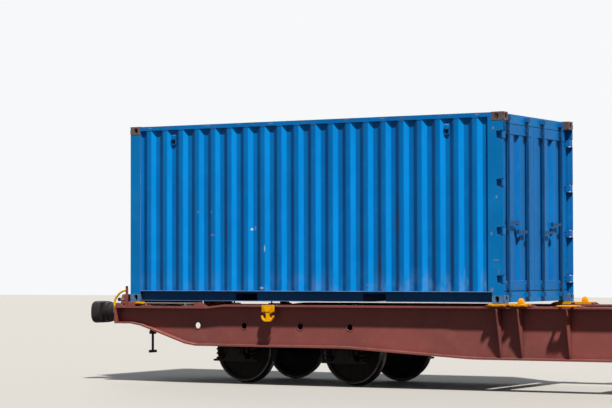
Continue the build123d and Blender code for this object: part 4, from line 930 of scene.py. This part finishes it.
# the pipe's dark cap and cock, and a dark knob on the hand rail
CAP = [(0, -0.03), (0.018, -0.03), (0.027, -0.022), (0.027, 0.004), (0.02, 0.01)]
KNOB = [(0, -0.018), (0.012, -0.018), (0.019, -0.01), (0.019, 0.01), (0.012, 0.018), (0, 0.018)]
caps.lathe(CAP, (0.022 - HALF, PIPE_Y, PIPE[0][1]), X, 24)
caps.box((0.098 - HALF, 0.19 - HALF), (-1.2, -1.13), (DECK_Z, DECK_Z + 0.034))
caps.lathe(KNOB, (0.176 - HALF, -1.25, RAIL + 1.369), Z, 20)
caps.make("deck_caps", "tank_paint", slot="wagon_paint", mirror="xy", bevel=0.003)

# hand rails at the corners, clamped to the headstock
rails, clamps = Kit(), Kit()
GRIP = from_end([
    (-0.044, 0.99), (-0.044, 1.19), (0.042, 1.278), (0.093, 1.307), (0.13, 1.319), (0.1675, 1.319),
])
rails.tube(rounded(placed(GRIP, -1.25, "y"), 0.06, 5), 0.0155, 16)
clamp_x = -HALF - 0.0325
for z in (RAIL + 1.01, RAIL + 1.07):
    clamps.box((clamp_x, -HALF - 0.03), (-1.276, -1.224), (z - 0.011, z + 0.011))
    for y in (-1.27, -1.23):
        clamps.bolt((clamp_x, y, z), -X, 0.007)
rails.make("corner_handrails", "handrail_paint", ["handrails"], slot="yellow_paint", mirror="xy")
clamps.make("handrail_clamps", "wagon_paint", mirror="xy")

# buffers: base plate and casing, plunger with its oval head, bolts
shells, heads, bolts = Kit(), Kit(), Kit()
FACE = -HALF - 0.03
BUFFER = (FACE, -0.875, RAIL + 0.993)
BASE_THICK = 0.024
# turned profiles: radius, distance from the face
CASING = [
    (0.152, -0.024), (0.143, -0.03), (0.136, -0.045), (0.134, -0.1), (0.134, -0.285),
    (0.139, -0.292), (0.139, -0.312), (0.134, -0.318), (0.134, -0.329), (0.11, -0.329),
]
PLUNGER = [
    (0.11, -0.331), (0.146, -0.331), (0.15, -0.337), (0.15, -0.352), (0.147, -0.356),
    (0.147, -0.48), (0.15, -0.5), (0.158, -0.521),
]
# the head's rings: distance from the face, share of the full size
HEAD = (
    (-0.412, 0.74), (-0.416, 0.88), (-0.424, 0.94), (-0.438, 0.965), (-0.47, 0.98), (-0.526, 0.995),
    (-0.535, 1.0), (-0.546, 0.995), (-0.554, 0.97), (-0.5615, 0.86), (-0.567, 0.6), (-0.5695, 0.3),
)
base_line = rounded(rectangle((-0.17, 0.17), (-0.17, 0.17)), 0.04, 5, True)
head_line = rounded(rectangle((-0.225, 0.225), (-0.165, 0.165)), 0.14, 8, True)
shells.plate([(BUFFER[1] + u, BUFFER[2] + v) for u, v in base_line], FACE - BASE_THICK, FACE, "x")
shells.lathe(CASING, BUFFER, X, 64)
heads.lathe(PLUNGER, BUFFER, X, 64)
heads.loft([
    [(FACE + d, BUFFER[1] + u * grow, BUFFER[2] + v * grow) for u, v in head_line]
    for d, grow in HEAD
])
STUD = [(0.0, 0.0), (0.01, 0.0), (0.01, 0.022), (0.0, 0.024)]
for u in (-0.142, 0.142):
    for v in (-0.142, 0.142):
        bolts.bolt((FACE - BASE_THICK, BUFFER[1] + u, BUFFER[2] + v), -X, 0.018)
        bolts.lathe(STUD, (FACE - BASE_THICK - 0.012, BUFFER[1] + u, BUFFER[2] + v), -X, 12)
shells.make("buffer_shells", "buffer_steel", ["buffer_casings"], mirror="xy")
heads.make("buffer_plungers", "buffer_steel", ["buffer_heads"], mirror="xy", sharp=30)
bolts.make("buffer_bolts", "buffer_steel", mirror="xy")

# air reservoirs with dished ends and straps
tanks, straps = Kit(), Kit()
TANK_R = 0.178
TANK_Y = 0.42
TANK_END = [(0, -0.548), (0.06, -0.546), (0.12, -0.532), (0.16, -0.508), (TANK_R, -0.47)]
foot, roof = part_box("air_reservoirs")
tank_z = foot[2] + 0.18
for x in (-1.56, 1.56):
    profile = TANK_END + [(r, -d) for r, d in reversed(TANK_END)]
    tanks.lathe(profile, (x, TANK_Y, tank_z), X, 64)
    r = TANK_R + 0.001
    for u in (-0.3, 0.3):
        turn = [(x + u, TANK_Y + r * c, tank_z + r * s) for c, s in circle(48)]
        straps.tube(turn, 0.004, 6, closed=True)
    straps.box((x - 0.04, x + 0.04), (0.34, 0.5), (tank_z + 0.15, roof[2]))
tanks.make("reservoir_tanks", "tank_paint", ["air_reservoirs"])
straps.make("reservoir_straps", "tank_paint", bevel=0.002)


# Bogies
# Turned profiles: radius, distance out from the wheel's inner face or from the middle of the axle
WHEEL_INSIDE = [
    (0.079, 0.0), (0.112, -0.008), (0.114, 0.02), (0.125, 0.045), (0.2, 0.062), (0.33, 0.06),
    (0.385, 0.04), (0.398, 0.004), (0.404, 0.0), (0.452, 0.0),
]
WHEEL_OUTSIDE = [
    (0.455, 0.1345), (0.405, 0.1345), (0.398, 0.128), (0.39, 0.1), (0.33, 0.087), (0.2, 0.09),
    (0.13, 0.085), (0.114, 0.13), (0.112, 0.155), (0.082, 0.158),
]
TREAD = [
    (0.44, 0.0), (0.47, 0.0005), (0.482, 0.005), (0.4875, 0.013), (0.484, 0.022), (0.474, 0.03),
    (0.463, 0.037), (0.46, 0.045), (0.459, 0.1), (0.457, 0.128), (0.452, 0.1348), (0.44, 0.135),
]
AXLE_END = [(0, -1.062), (0.058, -1.062), (0.0615, -1.055), (0.0615, -0.9), (0.079, -0.885)]
AXLE = AXLE_END + [(r, -d) for r, d in reversed(AXLE_END)]
BOX_CASE = [
    (0.0625, -0.92), (0.118, -0.92), (0.13, -0.93), (0.133, -0.945), (0.133, -1.05),
    (0.126, -1.062), (0.0, -1.0705),
]
BOX_COVER = [(0.098, -1.066), (0.098, -1.0745), (0.088, -1.0778), (0, -1.078)]
# half outline of the plate under an axle box: across from the axle, height
BOX_WINGS = [
    (0.365, RAIL + 0.3), (0.365, RAIL + 0.33), (0.18, RAIL + 0.33), (0.125, AXLE_Z - 0.02),
]
WHEEL_Y = 0.68
SPRING_Y = -0.995
SPRING_LOW, SPRING_HIGH = RAIL + 0.33, RAIL + 0.64
# springs: radius, turns, radius of the wire, sides of the wire, height lost at each end, dead end, steps
COILS = (
    (0.055, 5.5, 0.0125, 8, 0.0125, 0.1, 132),
    (0.03, -7, 0.007, 6, 0.008, 0.08, 120),
)


def coil(kit, x, radius, turns, wire, sides, inset, dead, steps):
    """A coil spring whose first and last turns lie flat."""
    path = []
    for i in range(steps + 1):
        t = i / steps
        rise = min(1, max(0, (t - dead) / (1 - 2 * dead)))
        z = SPRING_LOW + inset + (SPRING_HIGH - SPRING_LOW - 2 * inset) * rise
        a = 2 * pi * turns * t
        path.append((x + radius * cos(a), SPRING_Y + radius * sin(a), z))
    kit.tube(path, wire, sides)


for side_name, way_out in (("left", -1), ("right", 1)):
    centre = way_out * PIVOT
    body = f"bogie_{side_name}"
    for wheel_name, k in (("outer", 1), ("inner", -1)):
        middle = (centre + way_out * k * HALF_BASE, 0, AXLE_Z)
        discs, treads = Kit(), Kit()
        for sy in (-1, 1):
            for kit, line in ((discs, WHEEL_INSIDE), (discs, WHEEL_OUTSIDE), (treads, TREAD)):
                kit.lathe([(r, sy * (WHEEL_Y + d)) for r, d in line], middle, Y, 96)
        discs.lathe(AXLE, middle, Y, 64)
        wheels = f"wheelset_{side_name}_{wheel_name}"
        discs.make(f"{wheels}_discs", "wheel_steel", [wheels], sharp=30, body=wheels)
        treads.make(f"{wheels}_treads", "tread_steel", slot="wheel_steel", sharp=30, body=wheels)

    coils, seats, boxes, covers, trim = Kit(), Kit(), Kit(), Kit(), Kit()
    for axle in (centre - HALF_BASE, centre + HALF_BASE):
        # coil springs on their seats
        for x in (axle - 0.28, axle + 0.28):
            for values in COILS:
                coil(coils, x, *values)
            for z, d in ((SPRING_LOW, 1), (SPRING_HIGH, -1)):
                seat = [(0, 0), (0.0695, 0), (0.0695, d * 0.006), (0.045, d * 0.01), (0, d * 0.01)]
                seats.lathe(seat, (x, SPRING_Y, z), Z, 32)
        # axle boxes with bolted covers
        middle = (axle, 0, AXLE_Z)
        boxes.lathe(BOX_CASE, middle, Y, 48)
        boxes.lathe([(0.0625, -1.064), (0.0625, -0.92)], middle, Y, 48)
        wings = [(axle + u, v) for u, v in both_sides(BOX_WINGS)]
        boxes.plate(rounded(wings, 0.012, 3, True), -1.066, -0.934, "y")
        covers.lathe(BOX_COVER, middle, Y, 40)
        for c, s in circle(6, 0.5):
            covers.bolt((axle + 0.112 * c, -1.0655, AXLE_Z + 0.112 * s), -Y, 0.011)
        # bolted guides beside the axle box
        for x in (axle - 0.176, axle + 0.176):
            for z in (0.47, 0.55, 0.62):
                trim.bolt((x, -1.04, RAIL + z), -Y, 0.01)
    # ribs on the frame and the plate on its top
    for u in (-0.55, -0.22, 0.22, 0.55):
        trim.box((centre + u - 0.006, centre + u + 0.006), (-1.046, -1.04), (RAIL + 0.66, RAIL + 0.83))
    trim.plate(rectangle((centre - 1.12, centre + 1.12), (RAIL + 0.838, RAIL + 0.85)), -1.052, -0.938, "y")
    for kit, piece, look, replaces, bevel in (
        (coils, "coil_springs", "spring_steel", [f"{body}_springs"], 0),
        (seats, "spring_seats", "bogie_paint", [], 0),
        (boxes, "bearing_housings", "bogie_paint", [f"{body}_axle_boxes"], 0.003),
        (covers, "bearing_covers", "bogie_paint", [], 0),
        (trim, "frame_trim", "bogie_paint", [], 0.002),
    ):
        kit.make(f"{body}_{piece}", look, replaces, "bogie_paint", "y", bevel, body=body)

# Doors: four bolts on each of the four hinge blades
BLADE_LOW, BLADE_PITCH = LOW + 0.33, 0.65
for way, name in ((-1, "near"), (1, "far")):
    fit = Kit()
    for blade in range(4):
        z = BLADE_LOW + blade * BLADE_PITCH
        for y in (SKIN - 0.09, SKIN - 0.135):
            for v in (0.022, -0.022):
                fit.bolt((DOOR_FACE + 0.0005, way * y, z + v), X, 0.009)
    fit.make(f"door_{name}_hinge_bolts", "fitting_paint", slot="galvanised_steel", body=f"door_{name}")


# Stage, light, camera
def seen_direct(tree):
    """1 for camera, glossy and transmission rays, 0 for the rest."""
    path = tree.nodes.new("ShaderNodeLightPath")
    total = path.outputs["Is Camera Ray"]
    for kind in ("Is Glossy Ray", "Is Transmission Ray"):
        larger = tree.nodes.new("ShaderNodeMath")
        larger.operation = "MAXIMUM"
        tree.links.new(total, larger.inputs[0])
        tree.links.new(path.outputs[kind], larger.inputs[1])
        total = larger.outputs[0]
    return total


# a pale floor that throws less light back on the wagon than it seems to
look = Look("pale_floor")
look.first(look.noise(14, 4), srgb(163, 160, 155), srgb(166, 163, 158))
look.colour = look.mix(seen_direct(look.tree), srgb(72, 72, 72), look.colour)
look.finish(0.9)
FLOOR_SPAN = (-90, 90)
mesh = bpy.data.meshes.new("studio_floor")
mesh.from_pydata(placed(rectangle(FLOOR_SPAN, FLOOR_SPAN), 0, "z"), [], [[0, 1, 2, 3]])
mesh.materials.append(looks["pale_floor"])
floor = new_object("studio_floor", mesh)

world = bpy.data.worlds.new("studio")
bpy.context.scene.world = world
world.use_nodes = True
tree = world.node_tree
sky = tree.nodes["Background"]
white = tree.nodes.new("ShaderNodeBackground")
for node, colour, strength in ((sky, (0.66, 0.8, 1.0, 1), 0.11), (white, (0.93, 0.94, 0.95, 1), 1.0)):
    node.inputs["Color"].default_value = colour
    node.inputs["Strength"].default_value = strength
both = tree.nodes.new("ShaderNodeMixShader")
for i, socket in enumerate((seen_direct(tree), sky.outputs[0], white.outputs[0])):
    tree.links.new(socket, both.inputs[i])
tree.links.new(both.outputs[0], tree.nodes["World Output"].inputs["Surface"])


def sun(name, strength, size, azimuth, height, colour):
    """A sun lamp: its size and its direction in degrees."""
    lamp = bpy.data.lights.new(name, "SUN")
    lamp.energy = strength
    lamp.angle = radians(size)
    lamp.color = colour
    a, h = radians(azimuth), radians(height)
    way = Vector((cos(a) * cos(h), sin(a) * cos(h), sin(h)))
    new_object(name, lamp).rotation_euler = way.to_track_quat("Z", "Y").to_euler()


# a high sun behind the camera, and a soft fill from the far side
sun("key_light", 6.0, 3, -42, 61, (1.0, 0.97, 0.92))
sun("far_fill", 0.7, 30, 125, 38, (0.92, 0.96, 1.0))

# the photograph's camera, fitted to the container's corners
yaw, pitch, roll = radians(29.676), 0.0318, -0.0021
ahead = Vector((-sin(yaw) * cos(pitch), cos(yaw) * cos(pitch), sin(pitch)))
right = Vector((cos(yaw), sin(yaw), 0))
up = right.cross(ahead)
right, up = right * cos(roll) + up * sin(roll), up * cos(roll) - right * sin(roll)
camera = bpy.data.cameras.new("photo_camera")
camera.sensor_fit = "HORIZONTAL"
camera.lens = 123.15
camera.clip_end = 500
eye = new_object("photo_camera", camera)
turn = Matrix((right, up, -ahead)).transposed()
eye.matrix_world = Matrix.Translation((5.384, -26.938, 1.637)) @ turn.to_4x4()
bpy.context.scene.camera = eye
bpy.context.scene.view_settings.view_transform = "Standard"

bpy.context.view_layer.update()
